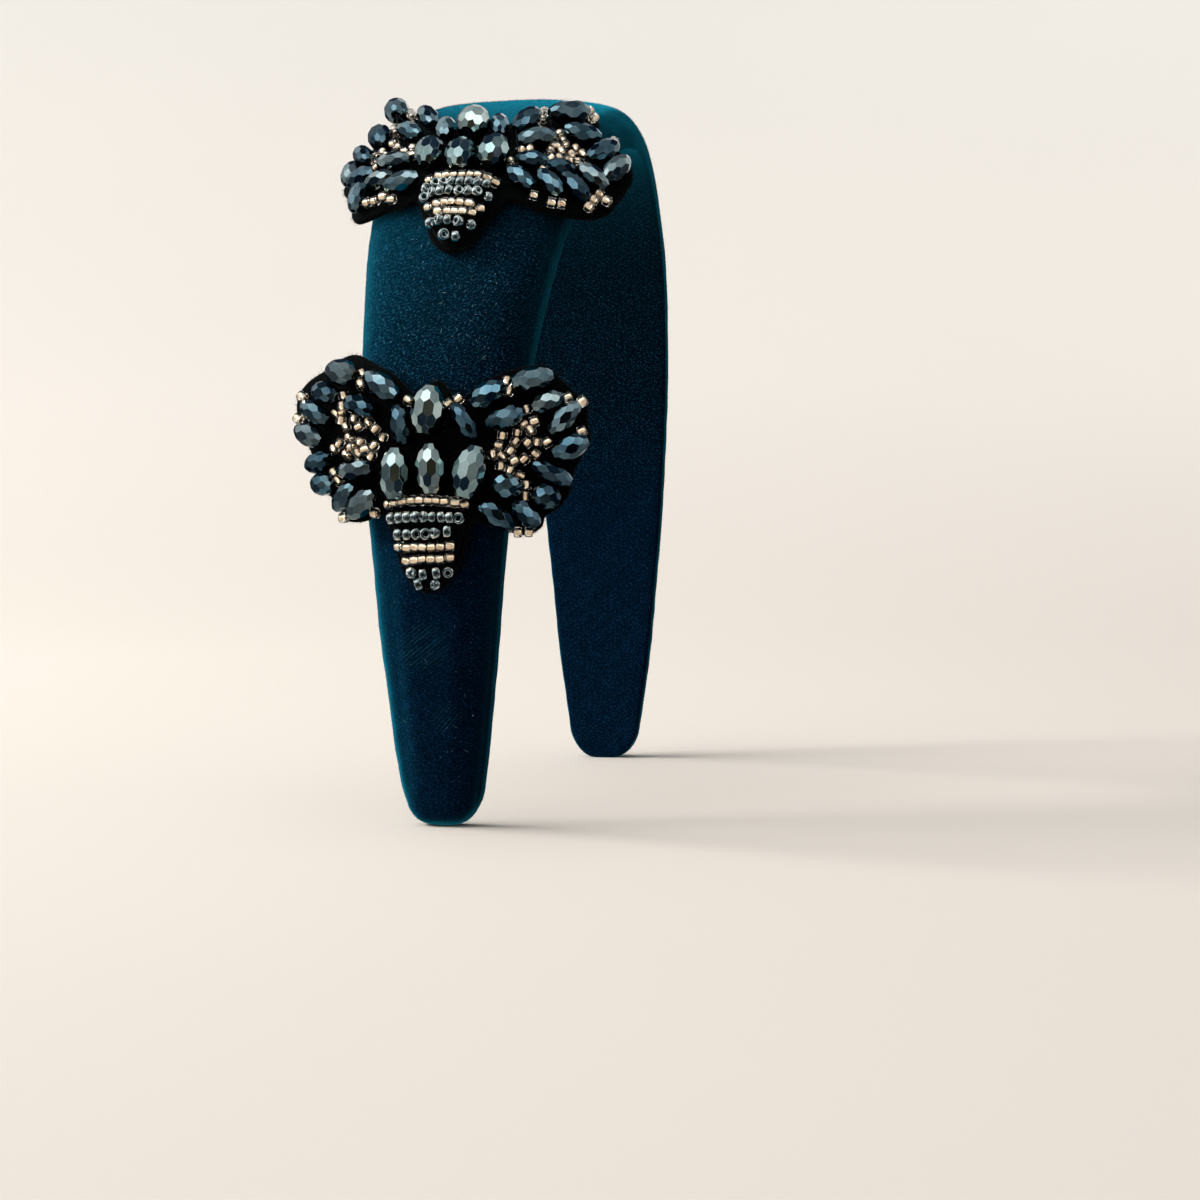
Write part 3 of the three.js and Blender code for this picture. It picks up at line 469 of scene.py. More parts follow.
def lint_material():
    m, nt, p = material("pale_lint")
    tone = noise(nt, node(nt, "TexCoord").outputs["Object"], 500.0, 1.0)
    nt.links.new(ramp(nt, tone, [(0.35, (0.03, 0.09, 0.12)), (0.65, (0.28, 0.38, 0.40))]), p.inputs["Base Color"])
    put(p, Roughness=0.85, Specular_IOR_Level=0.1)
    return m


VELVET, PILE, FELT, FUZZ, LINT = velvet_material(), pile_material(), felt_material(), fuzz_material(), lint_material()
GLASS = [
    glass_material("faceted_glass_slate", (0.085, 0.146, 0.178), (0.158, 0.226, 0.252), 0.050),
    glass_material("faceted_glass_teal", (0.062, 0.134, 0.176), (0.122, 0.206, 0.246), 0.045),
    glass_material("faceted_glass_grey", (0.122, 0.174, 0.190), (0.192, 0.246, 0.260), 0.055),
    glass_material("faceted_glass_navy", (0.036, 0.078, 0.108), (0.078, 0.134, 0.168), 0.045),
]
THORAX_GLASS = [
    glass_material("thorax_glass_slate", (0.215, 0.312, 0.318), (0.310, 0.412, 0.412), 0.050),
    glass_material("thorax_glass_grey", (0.255, 0.330, 0.325), (0.350, 0.425, 0.412), 0.055),
]
SEED_SHELL, SEED_LINING, SEED_DARK = seed_materials()
THREAD, HOLE_SHADE = thread_material(), hole_shade_material()


# ---------------------------------------------------------------------------------------------------------------------
# Mesh helpers. Points are in millimetres until they become a mesh.
class Soup:
    def __init__(self):
        self.points, self.faces, self.slots, self.smooth = [], [], [], []

    def add(self, points, faces, slot=0, smooth=True):
        start = len(self.points)
        self.points.extend(points)
        for f in faces:
            self.faces.append([start + i for i in f])
            self.slots.append(slot)
            self.smooth.append(smooth)

    def piece(self, name, materials):
        mesh = bpy.data.meshes.new(name)
        mesh.from_pydata([tuple(c * MM for c in p) for p in self.points], [], self.faces)
        for m in materials:
            mesh.materials.append(m)
        mesh.polygons.foreach_set("material_index", self.slots)
        mesh.polygons.foreach_set("use_smooth", self.smooth)
        mesh.update()
        obj = bpy.data.objects.new(name, mesh)
        SCENE.collection.objects.link(obj)
        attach(obj, "root")
        return obj


def faceted_template(sides, rows, cap):
    """Flats round an oval: corners and faces of the solid inside planes laid on a unit ball, about the x axis, 2 long and 2 across its flats."""
    planes = []
    for r, lat in enumerate(rows):
        for sign in ((1,) if lat == 0 else (1, -1)):
            for k in range(sides):
                a = (k + 0.5 * (r % 2)) / sides * 2 * math.pi
                la = math.radians(lat) * sign
                planes.append((math.sin(la), math.cos(la) * math.cos(a), math.cos(la) * math.sin(a), 1.0))
    planes += [(1.0, 0.0, 0.0, cap), (-1.0, 0.0, 0.0, cap)]
    planes = np.array(planes)
    n = len(planes)
    three = np.array([(i, j, k) for i in range(n) for j in range(i) for k in range(j)])
    m = planes[three][:, :, :3]
    solid = np.abs(np.linalg.det(m)) > 1e-6
    met = np.linalg.solve(m[solid], planes[three[solid]][:, :, 3:])[:, :, 0]
    met = met[(met @ planes[:, :3].T <= planes[:, 3] + 1e-7).all(1)]
    corners = []
    for p in met:
        if not any(np.abs(p - q).max() < 1e-5 for q in corners):
            corners.append(p)
    corners = np.array(corners)
    faces = []
    for plane in planes:
        on = np.where(np.abs(corners @ plane[:3] - plane[3]) < 1e-5)[0]
        if len(on) < 3:
            continue
        normal = Vector(plane[:3])
        side = normal.orthogonal().normalized()
        up = normal.cross(side)
        middle = corners[on].mean(0)
        faces.append(sorted(on.tolist(), key=lambda i: math.atan2((corners[i] - middle) @ np.array(up), (corners[i] - middle) @ np.array(side))))
    corners[:, 0] /= cap
    return corners, faces


TEMPLATES = [
    faceted_template(8, [0, 31, 52], 0.95),
    faceted_template(10, [0, 31, 52], 0.92),
    faceted_template(9, [0, 33, 54], 0.94),
]


def faceted_bead(soup, seat, length, width, template, roll, slot, hole_shade_slot):
    middle, axis, side, up = seat
    bm = bmesh.new()
    turn = Matrix.Rotation(roll, 3, "X")
    corners = []
    for c in template[0]:
        p = turn @ Vector(c)
        corners.append(bm.verts.new((p.x * length * 0.508, p.y * width * 0.525, p.z * width * 0.525)))
    for f in template[1]:
        bm.faces.new([corners[i] for i in f])
    bm.normal_update()
    flats = [e for e in bm.edges if e.calc_face_angle(0) > 0.05]
    bmesh.ops.bevel(bm, geom=flats, offset=0.022, segments=1, profile=0.5, affect="EDGES", clamp_overlap=True)
    bm.normal_update()
    # The drilled ends, sunk a little way, their sunk faces painted near-black: painted shade standing in for the depth
    # of the bore.
    ends = sorted((f for f in bm.faces if abs(f.normal.x) > 0.999), key=lambda f: -f.calc_area())[:2]
    for f in ends:
        reach = max((v.co - f.calc_center_median()).length for v in f.verts)
        bmesh.ops.inset_region(bm, faces=[f], thickness=reach * 0.30, depth=0.0)
        sunk = bmesh.ops.inset_region(bm, faces=[f], thickness=reach * 0.06, depth=-0.55)
        f.material_index = 1
        for g in sunk["faces"]:
            g.material_index = 1
    points = [middle + axis * v.co.x + side * v.co.y + up * v.co.z for v in bm.verts]
    bm.verts.index_update()
    start = len(soup.points)
    soup.points.extend(points)
    for f in bm.faces:
        soup.faces.append([start + v.index for v in f.verts])
        soup.slots.append(hole_shade_slot if f.material_index == 1 else slot)
        soup.smooth.append(False)
    bm.free()


def ring_points(around, profile):
    """A closed ring about the x axis from a closed profile of (x, reach)."""
    points, faces, n = [], [], len(profile)
    for k in range(around):
        a = k / around * 2 * math.pi
        points.extend((x, r * math.cos(a), r * math.sin(a)) for x, r in profile)
    for k in range(around):
        for i in range(n):
            a, b = k * n, ((k + 1) % around) * n
            faces.append((a + i, a + (i + 1) % n, b + (i + 1) % n, b + i))
    return np.array(points), faces


def rounded(half_x, low, high, power, count):
    middle, reach = (low + high) / 2, (high - low) / 2
    out = []
    for i in range(count):
        a = i / count * 2 * math.pi
        c, s = math.cos(a), math.sin(a)
        out.append((half_x * math.copysign(abs(c) ** (2 / power), c), middle + reach * math.copysign(abs(s) ** (2 / power), s)))
    return out


SEED_RING = ring_points(16, rounded(0.88, 0.68, 1.18, 2.6, 12))
LINING_RING = ring_points(14, rounded(0.84, 0.56, 0.665, 4.0, 8))
DARK_RING = ring_points(22, rounded(0.80, 0.46, 1.26, 2.6, 14))


def turned(ring, middle, axis, hint, scale=(1, 1, 1)):
    side = hint.cross(axis)
    if side.length < 1e-4:
        side = Vector((0, 0, 1)).cross(axis)
    side.normalize()
    up = axis.cross(side).normalized()
    m = np.array([axis * scale[0], side * scale[1], up * scale[2]])
    return [Vector(p) for p in (ring[0] @ m + np.array(middle))], ring[1]


def gold_seed(soup, middle, axis, hint, size):
    points, faces = turned(SEED_RING, middle, axis, hint, size)
    soup.add(points, faces, 0)
    points, faces = turned(LINING_RING, middle, axis, hint, size)
    soup.add(points, faces, 1)


def tube(soup, path, radius, slot, sides=8):
    """A closed round cord through the points of path."""
    start, n = len(soup.points), len(path)
    for i, p in enumerate(path):
        ahead = (path[min(i + 1, n - 1)] - path[max(i - 1, 0)]).normalized()
        side = ahead.orthogonal().normalized()
        up = ahead.cross(side)
        for k in range(sides):
            a = k / sides * 2 * math.pi
            soup.points.append(p + (side * math.cos(a) + up * math.sin(a)) * radius)
    faces = []
    for i in range(n - 1):
        for k in range(sides):
            a, b = start + i * sides + k, start + i * sides + (k + 1) % sides
            faces.append([a, b, b + sides, a + sides])
    faces.append([start + k for k in reversed(range(sides))])
    faces.append([start + (n - 1) * sides + k for k in range(sides)])
    for f in faces:
        soup.faces.append(f)
        soup.slots.append(slot)
        soup.smooth.append(True)


def spikes(soup, roots, directions, lengths, reaches, rng, slot=0):
    """Fine closed fibres, three sided, thin at the tip."""
    for root, direction, length, reach in zip(roots, directions, lengths, reaches):
        d = direction.normalized()
        side = d.orthogonal().normalized()
        up = d.cross(side)
        a0 = rng.random() * 6.28
        base = len(soup.points)
        for k in range(3):
            a = a0 + k * 2.0944
            soup.points.append(root + (side * math.cos(a) + up * math.sin(a)) * reach)
        soup.points.append(root + d * length)
        for f in ((base, base + 2, base + 1), (base, base + 1, base + 3), (base + 1, base + 2, base + 3), (base + 2, base, base + 3)):
            soup.faces.append(f)
            soup.slots.append(slot)
            soup.smooth.append(False)


# ---------------------------------------------------------------------------------------------------------------------
# Padded velvet band.
def band_section(d, inset=0.0):
    """Closed loop of (y, n) across the band at a distance from the crown."""
    half, thick = half_at(d), thick_at(d)
    half, thick = half - inset, thick - inset
    roll = min(EDGE_ROLL, thick * 0.4)
    loop = []
    dome = 34
    for k in range(dome + 1):
        a = (k / dome * 2 - 1) * math.pi / 2
        y = math.copysign(abs(math.sin(a)) ** (2 / DOME_POWER), a) * half
        n = roll + max(0.0, math.cos(a)) ** (2 / DOME_POWER) * (thick - roll)
        loop.append((y if k != dome // 2 else 0.0, roll if k in (0, dome) else n))
    for a in (30, 60):
        loop.append((half - roll + roll * math.cos(math.radians(a)), roll - roll * math.sin(math.radians(a))))
    flat = 10
    for k in range(flat + 1):
        loop.append(((half - roll) * (1 - 2 * k / flat), 0.0))
    for a in (60, 30):
        loop.append((-(half - roll + roll * math.cos(math.radians(a))), roll - roll * math.sin(math.radians(a))))
    return loop


def make_band():
    tip = [0.0, 0.22, 0.5, 0.9, 1.4, 2.1, 3.0, 4.2, 5.6, 7.2, 9.0]
    stations = [HALF_LENGTH - t for t in tip]
    rest = HALF_LENGTH - 11.0
    steps = 72
    stations += [rest * (1 - i / steps) for i in range(steps)]
    stations = stations + [0.0] + [-s for s in reversed(stations)]
    points, lay = [], []
    count = 0
    for d in stations:
        x, z, nx, nz = spine(d)
        from_tip = HALF_LENGTH - abs(d)
        inset = 1.2 * (1 - math.sqrt(max(0.0, 1 - (1 - from_tip / 1.2) ** 2))) if from_tip < 1.2 else 0.0
        loop = band_section(d, inset)
        count = len(loop)
        run = 0.0
        for i, (y, n) in enumerate(loop):
            if i:
                run += math.hypot(y - loop[i - 1][0], n - loop[i - 1][1])
            points.append(Vector((x + nx * n + SHIFT_X, y + SHIFT_Y, z + nz * n)))
            lay.append((d, run))
    faces, uvs = [], []
    rows = len(stations)
    reach = [0.0] * rows
    for r in range(rows):
        last = points[r * count + count - 1] - points[r * count]
        reach[r] = lay[r * count + count - 1][1] + last.length
    for r in range(rows - 1):
        for k in range(count):
            a, b = r * count + k, r * count + (k + 1) % count
            faces.append([a, b, b + count, a + count])
            nb, nbc = (lay[b][1], lay[b + count][1]) if k < count - 1 else (reach[r], reach[r + 1])
            uvs.append([((lay[i][0] + 200) / 400, w / 130) for i, w in ((a, lay[a][1]), (b, nb), (b + count, nbc), (a + count, lay[a + count][1]))])
    for end, row in ((0, 0), (1, rows - 1)):
        ring = [row * count + k for k in range(count)]
        middle = sum((points[i] for i in ring), Vector()) / count
        inner = []
        for share in (0.55,):
            start = len(points)
            points.extend(points[i] * share + middle * (1 - share) for i in ring)
            inner = list(range(start, start + count))
        centre = len(points)
        points.append(middle)
        def corner(i):
            p = points[i] - middle
            return (0.93 + p.y / 400 + (0.0 if end == 0 else -0.9), 0.96 + p.x / 400)
        for k in range(count):
            n = (k + 1) % count
            f = [ring[n], ring[k], inner[k], inner[n]] if end == 0 else [ring[k], ring[n], inner[n], inner[k]]
            faces.append(f)
            uvs.append([corner(i) for i in f])
            f = [inner[n], inner[k], centre] if end == 0 else [inner[k], inner[n], centre]
            faces.append(f)
            uvs.append([corner(i) for i in f])
    soup = Soup()
    soup.add(points, faces, 0)
    band = soup.piece("padded_band_velvet", [VELVET])
    layer = band.data.uv_layers.new(name="OFBake")
    flat = [c for f in uvs for uv in f for c in uv]
    layer.data.foreach_set("uv", flat)
    bm = bmesh.new()
    bm.from_mesh(band.data)
    bmesh.ops.recalc_face_normals(bm, faces=bm.faces[:])
    bm.to_mesh(band.data)
    bm.free()
    return band, rows, count


def swell(band, rows, count):
    """Cloth with pressure over the padding: the inner face is held, the velvet swells from a slightly smaller shape and its movement is capped."""
    mesh = band.data
    n = len(mesh.vertices)
    co = np.empty(n * 3)
    mesh.vertices.foreach_get("co", co)
    full = co.reshape(-1, 3).copy()
    normals = np.empty(n * 3)
    mesh.vertex_normals.foreach_get("vector", normals)
    normals = normals.reshape(-1, 3)
    free = np.zeros(n)
    for r in range(8, rows - 8):
        for k in range(3, 32):
            free[r * count + k] = 1.0
    small = full - normals * (0.0004 * free)[:, None]
    mesh.vertices.foreach_set("co", small.ravel())
    mesh.update()
    held = band.vertex_groups.new(name="held")
    held.add([i for i in range(n) if free[i] == 0], 1.0, "REPLACE")
    cloth = band.modifiers.new("cloth", "CLOTH")
    s = cloth.settings
    s.vertex_group_mass = "held"
    s.quality = 6
    s.mass = 0.002
    s.tension_stiffness = s.compression_stiffness = 18
    s.shear_stiffness = 8
    s.bending_stiffness = 0.6
    s.use_pressure = True
    s.uniform_pressure_force = 450.0
    s.effector_weights.gravity = 0
    cloth.collision_settings.use_collision = False
    cloth.point_cache.frame_start, cloth.point_cache.frame_end = 1, 20
    for f in range(1, 21):
        SCENE.frame_set(f)
    got = np.empty(n * 3)
    seen = band.evaluated_get(bpy.context.evaluated_depsgraph_get())
    seen.data.vertices.foreach_get("co", got)
    moved = got.reshape(-1, 3) - full
    out = (moved * normals).sum(1)
    print("swell: out %.2f to %.2f mm, mean %.2f" % (out.min() * 1000, out.max() * 1000, out[free > 0].mean() * 1000))
    band.modifiers.remove(cloth)
    band.vertex_groups.remove(held)
    SCENE.frame_set(1)
    out = np.clip(out, -0.0004, 0.00025)
    mesh.vertices.foreach_set("co", (full + normals * (out * (free > 0))[:, None]).ravel())
    mesh.update()


def finish_band(band):
    """One subdivision, then the small unevenness of padding and of velvet drawn over an edge."""
    sub = band.modifiers.new("sub", "SUBSURF")
    sub.levels = sub.render_levels = 1
    depsgraph = bpy.context.evaluated_depsgraph_get()
    fine = bpy.data.meshes.new_from_object(band.evaluated_get(depsgraph), preserve_all_data_layers=True, depsgraph=depsgraph)
    band.modifiers.clear()
    old = band.data
    band.data = fine
    bpy.data.meshes.remove(old)
    fine.name = "padded_band_velvet"
    n = len(fine.vertices)
    co, no = np.empty(n * 3), np.empty(n * 3)
    fine.vertices.foreach_get("co", co)
    fine.vertex_normals.foreach_get("vector", no)
    co, no = co.reshape(-1, 3), no.reshape(-1, 3)
    p = co / MM
    wave = 0.10 * np.sin(p[:, 2] * 0.21 + p[:, 1] * 0.13) * np.sin(p[:, 1] * 0.17 - p[:, 0] * 0.11 + 1.3) + 0.05 * np.sin(p[:, 2] * 0.83 + p[:, 0] * 0.57) * np.sin(p[:, 1] * 0.71)
    wave *= np.clip((p[:, 2] - 1.0) / 4.0, 0, 1)
    co = co + no * (wave * MM)[:, None]
    co[:, 2] = np.maximum(co[:, 2], 0.0)
    fine.vertices.foreach_set("co", co.ravel())
    fine.polygons.foreach_set("use_smooth", [True] * len(fine.polygons))
    fine.update()


band, band_rows, band_count = make_band()
swell(band, band_rows, band_count)
finish_band(band)
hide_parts("padded_band")


def make_pile(amount):
    """Short fibres of the pile standing out of the velvet, thickest where the light catches them."""
    rng = random.Random(11)
    mesh = band.data
    mesh.calc_loop_triangles()
    tri = np.empty(len(mesh.loop_triangles) * 3, dtype=np.int32)
    mesh.loop_triangles.foreach_get("vertices", tri)
    tri = tri.reshape(-1, 3)
    co, no = np.empty(len(mesh.vertices) * 3), np.empty(len(mesh.vertices) * 3)
    mesh.vertices.foreach_get("co", co)
    mesh.vertex_normals.foreach_get("vector", no)
    co, no = co.reshape(-1, 3) / MM, no.reshape(-1, 3)
    a, b, c = co[tri[:, 0]], co[tri[:, 1]], co[tri[:, 2]]
    area = np.linalg.norm(np.cross(b - a, c - a), axis=1) / 2
    middle = (a + b + c) / 3
    facing = no[tri[:, 0]]
    # Inside of the arch: the side next to the head carries fewer.
    inward = (facing * (np.array([SHIFT_X, SHIFT_Y, 55.0]) - middle)).sum(1) > 0
    weight = area * np.where(inward, 0.3, 1.0) * (middle[:, 2] > 0.8)
    pick = np.random.default_rng(5).choice(len(tri), size=amount, p=weight / weight.sum())
    soup = Soup()
    roots, directions, lengths, reaches = [], [], [], []
    for t in pick:
        r1, r2 = math.sqrt(rng.random()), rng.random()
        w = (1 - r1, r1 * (1 - r2), r1 * r2)
        p = Vector(a[t] * w[0] + b[t] * w[1] + c[t] * w[2])
        n = Vector(facing[t])
        down = Vector((0, 0, -1))
        lie = (down - n * down.dot(n))
        lie = lie.normalized() if lie.length > 1e-3 else n.orthogonal().normalized()
        cross = n.cross(lie)
        a0 = rng.gauss(-1.05, 0.40)
        d = n * rng.uniform(0.18, 0.75) + (lie * math.cos(a0) + cross * math.sin(a0)) * 0.75
        roots.append(p - n * 0.04)
        directions.append(d)
        lengths.append(rng.uniform(0.35, 0.75))
        reaches.append(rng.uniform(0.020, 0.034))
    spikes(soup, roots, directions, lengths, reaches, rng)
    pile = soup.piece("padded_band_pile", [PILE])
    return pile


make_pile(42000)


def make_lint():
    """A few pale specks and bits of fibre caught on the velvet of the arm with the bees."""
    rng = random.Random(13)
    soup = Soup()
    roots, directions, lengths, reaches = [], [], [], []
    for i in range(420):
        d = rng.uniform(54, 92) if i % 7 < 5 else rng.uniform(92, HALF_LENGTH - 6)
        half, thick = half_at(d), thick_at(d)
        x, z, nx, nz = spine(d)
        share = rng.triangular(-0.85, 0.85, -0.5)
        n = EDGE_ROLL + (1 - abs(share) ** DOME_POWER) ** (1 / DOME_POWER) * (thick - EDGE_ROLL)
        roots.append(Vector((x + nx * (n + 0.18) + SHIFT_X, share * half + SHIFT_Y, z + nz * (n + 0.18))))
        a = rng.uniform(0, 6.28)
        directions.append(Vector((0.15 * nx, math.cos(a), math.sin(a))))
        lengths.append(rng.uniform(0.15, 0.45) if rng.random() < 0.8 else rng.uniform(0.6, 1.3))
        reaches.append(rng.uniform(0.03, 0.065))
    spikes(soup, roots, directions, lengths, reaches, rng)
    soup.piece("padded_band_lint", [LINT])


make_lint()


# ---------------------------------------------------------------------------------------------------------------------
# Felt shapes.
def closed_curve(values, count):
    """Smooth closed reading of values at equal steps round."""
    n = len(values)
    out = []
    for i in range(count):
        x = i / count * n
        k, t = int(x), x - int(x)
        p0, p1, p2, p3 = (values[(k + j) % n] for j in (-1, 0, 1, 2))
        out.append(p1 + 0.5 * t * (p2 - p0 + t * (2 * p0 - 5 * p1 + 4 * p2 - p3 + t * (3 * (p1 - p2) + p3 - p0))))
    return out


def make_felt(name):
    bee = BEES[name]
    rng = random.Random(21 if name == "side" else 22)
    around = 264
    reach = closed_curve(bee["felt"], around)
    ragged = closed_curve([rng.uniform(-0.16, 0.12) for _ in range(88)], around)
    hub = bee["hub"]
    dirs = [(math.cos(k / around * 2 * math.pi), math.sin(k / around * 2 * math.pi)) for k in range(around)]
    top_shares = [0.1, 0.2, 0.3, 0.4, 0.5, 0.6, 0.68, 0.76, 0.83, 0.89, 0.94]
    soup = Soup()
    points = [over_bee(bee, hub[0], hub[1], FELT_THICK)]
    rings = []

    def ring(share, inset, height, uneven):
        start = len(points)
        for k in range(around):
            r = (reach[k] + ragged[k]) * share - inset
            h = height + uneven * 0.10 * math.sin(k * 0.61 + share * 23) * math.sin(k * 0.23 + share * 31)
            points.append(over_bee(bee, hub[0] + r * dirs[k][0], hub[1] + r * dirs[k][1], h))
        rings.append(start)

    for s in top_shares:
        ring(s, 0.0, FELT_THICK, 1.0)
    for a in (80, 55, 30, 0):
        ring(1.0, 0.55 * (1 - math.cos(math.radians(a))), FELT_THICK - 0.55 * (1 - math.sin(math.radians(a))), 0.4)
    ring(1.0, 0.0, 0.45, 0.0)
    ring(1.0, 0.25, 0.0, 0.0)
    for s in (0.97, 0.9, 0.8, 0.65, 0.5, 0.35, 0.2, 0.1):
        ring(s, 0.0, -0.25, 0.0)
    end = len(points)
    points.append(over_bee(bee, hub[0], hub[1], -0.25))
    faces = []
    for k in range(around):
        n = (k + 1) % around
        faces.append((0, rings[0] + k, rings[0] + n))
        for a, b in zip(rings, rings[1:]):
            faces.append((a + k, b + k, b + n, a + n))
        faces.append((end, rings[-1] + n, rings[-1] + k))
    soup.add(points, faces, 0)
    felt = soup.piece(f"{name}_bee_felt", [FELT])
    if sum((felt.data.polygons[i].normal.dot(frame_on(bee, hub[0], hub[1])[3]) for i in (0,))) < 0:
        felt.data.flip_normals()
    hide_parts(f"{name}_bee_backing")
    # Flat cut: the outline as it lies along the felt's own surface.
    outline = []
    for k in range(around):
        path = [over_bee(bee, hub[0] + reach[k] * s * dirs[k][0], hub[1] + reach[k] * s * dirs[k][1], FELT_THICK / 2) for s in np.linspace(0, 1, 9)]
        long = sum((b - a).length for a, b in zip(path, path[1:]))
        outline.append((long * dirs[k][0], long * dirs[k][1]))
    long = max(p[1] for p in outline) - min(p[1] for p in outline)
    # Loose fibres of the cut edge and of the face.
    fuzz = Soup()
    roots, directions, lengths, reaches = [], [], [], []
    for i in range(3600):
        k = rng.randrange(around)
        edge = i < 2600
        share = 1.0 if edge else math.sqrt(rng.random()) * 0.98
        r = (reach[k] + ragged[k]) * share - (0.12 if edge else 0.0)
        u, v = hub[0] + r * dirs[k][0], hub[1] + r * dirs[k][1]
        h = rng.uniform(0.25, FELT_THICK - 0.12) if edge else FELT_THICK - 0.03
        at, across, along, up = frame_on(bee, u, v, h)
        outward = across * dirs[k][0] + along * dirs[k][1]
        a = rng.uniform(0, 6.28)
        if edge:
            d = outward * rng.uniform(0.3, 1.0) + up * rng.uniform(-0.3, 0.7) + (across * math.cos(a) + along * math.sin(a)) * 0.7
        else:
            d = up * rng.uniform(0.15, 0.6) + (across * math.cos(a) + along * math.sin(a))
        roots.append(at)
        directions.append(d)
        lengths.append(rng.uniform(0.4, 1.1) if rng.random() < 0.9 else rng.uniform(1.2, 2.2))
        reaches.append(rng.uniform(0.018, 0.030))
    spikes(fuzz, roots, directions, lengths, reaches, rng)
    fibres = fuzz.piece(f"{name}_bee_felt_fuzz", [FUZZ])
    return felt


FELTS = {name: make_felt(name) for name in BEES}


# ---------------------------------------------------------------------------------------------------------------------
# Oval beads.
def fuller(beads):
    """Wing beads fuller than their CAD solids, as far as their neighbours leave room."""
    def rim(bead):
        u, v, turn, length, width = bead
        a = math.radians(turn)
        t = np.linspace(0, 2 * math.pi, 48, endpoint=False)
        x, y = np.cos(t) * length * 0.508, np.sin(t) * width * 0.525
        return np.stack([u - math.cos(a) * x + math.sin(a) * y, v + math.sin(a) * x + math.cos(a) * y], axis=1)

    rims = {part: rim(bead) for part, bead in beads.items()}
    out = {}
    for part, (u, v, turn, length, width) in beads.items():
        gap = min(np.linalg.norm(rims[part][:, None] - rims[o][None], axis=2).min() for o in beads if o != part)
        more = 0.0 if part.startswith("thorax") else min(0.45, 0.8 * gap)
        out[part] = (u, v, turn, length + 0.5 * more, width + more)
    return out


SIDE_BEADS = fuller(SIDE_BEADS)


def make_beads():
    rng = random.Random(31)
    for name, beads in (("side", SIDE_BEADS), ("top", TOP_BEADS)):
        bee = BEES[name]
        for part, bead in beads.items():
            soup = Soup()
            big = part.startswith("thorax") and bead[4] > 5.5
            template = TEMPLATES[1] if big else TEMPLATES[rng.choice((0, 0, 2))]
            faceted_bead(soup, bead_seat(bee, bead), bead[3], bead[4], template, rng.uniform(0, 6.28), 0, 1)
            glass = THORAX_GLASS[rng.choice((0, 1))] if big else GLASS[3 if part in ("thorax_2", "thorax_3") and name == "side" else rng.choice((0, 0, 1, 2, 3, 3))]
            obj = soup.piece(f"{name}_bee_{part}_bead", [glass, HOLE_SHADE])
            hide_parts(f"{name}_bee_{part}")
    bee = BEES["top"]
    for part, beads in TOP_STRINGS.items():
        soup = Soup()
        seats = [bead_seat(bee, b) for b in beads]
        for b, seat in zip(beads, seats):
            faceted_bead(soup, seat, b[3], b[4], TEMPLATES[rng.choice((0, 0, 2))], rng.uniform(0, 6.28), rng.choice((0, 0, 1, 2, 3, 3)), 4)
        for i in range(1, len(beads)):
            j = STRING_FROM.get((part, i), i - 1)
            # From the nearer end of one bead to the nearer end of the next, down on the felt where they are well apart.
            ends = [[(seats[k][0] + seats[k][1] * s * beads[k][3] * 0.46, beads[k][0] - s * math.cos(math.radians(beads[k][2])) * beads[k][3] * 0.46, beads[k][1] + s * math.sin(math.radians(beads[k][2])) * beads[k][3] * 0.46) for s in (1, -1)] for k in (j, i)]
            (a, au, av), (b, bu, bv) = min(((a, b) for a in ends[0] for b in ends[1]), key=lambda e: (e[0][0] - e[1][0]).length)
            if (b - a).length < 3.0:
                sag = -(seats[j][3] + seats[i][3]).normalized() * min(0.5, 0.06 * (b - a).length)
                path = [a.lerp(b, t) + sag * (4 * t * (1 - t)) for t in np.linspace(0, 1, 7)]
            else:
                path = [a] + [over_bee(bee, au + (bu - au) * t, av + (bv - av) * t, FELT_THICK + 0.16) for t in (0.2, 0.3, 0.5, 0.7, 0.8)] + [b]
            tube(soup, path, 0.2, 5)
        obj = soup.piece(f"top_bee_{part}_beads", [*GLASS, HOLE_SHADE, THREAD])
        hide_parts(f"top_bee_{part}")


make_beads()


# ---------------------------------------------------------------------------------------------------------------------
# Seed beads.
def all_beads(name):
    return list(SIDE_BEADS.values()) if name == "side" else list(TOP_BEADS.values()) + [b for s in TOP_STRINGS.values() for b in s]


def push_clear(name, seeds, reach):
    """Moves seed beads out of the oval beads and out of each other."""
    beads = all_beads(name)
    seeds = [list(s[:2]) for s in seeds]
    for _ in range(60):
        for i, s in enumerate(seeds):
            for u, v, turn, length, width in beads:
                a = math.radians(turn)
                du, dv = s[0] - u, s[1] - v
                x, y = -math.cos(a) * du + math.sin(a) * dv, math.sin(a) * du + math.cos(a) * dv
                r = math.hypot(x, y) or 1e-6
                edge = 1 / math.hypot(x / r / (length / 2), y / r / (width / 2))
                short = edge + reach * 0.72 - r
                if short > 0:
                    s[0] += du / r * short * 0.5
                    s[1] += dv / r * short * 0.5
            for j, o in enumerate(seeds):
                if j != i:
                    du, dv = s[0] - o[0], s[1] - o[1]
                    r = math.hypot(du, dv) or 1e-6
                    if r < reach * 1.7:
                        push = (reach * 1.7 - r) * 0.25
                        s[0] += du / r * push
                        s[1] += dv / r * push
    return seeds


def on_felt(bee, u, v, margin):
    """Draws (u, v) in until it is at least a margin inside the felt's outline."""
    du, dv = u - bee["hub"][0], v - bee["hub"][1]
    edge = closed_curve(bee["felt"], 264)[round(math.atan2(dv, du) / (2 * math.pi) * 264) % 264]
    share = min(1.0, (edge - margin) / math.hypot(du, dv))
    return bee["hub"][0] + du * share, bee["hub"][1] + dv * share


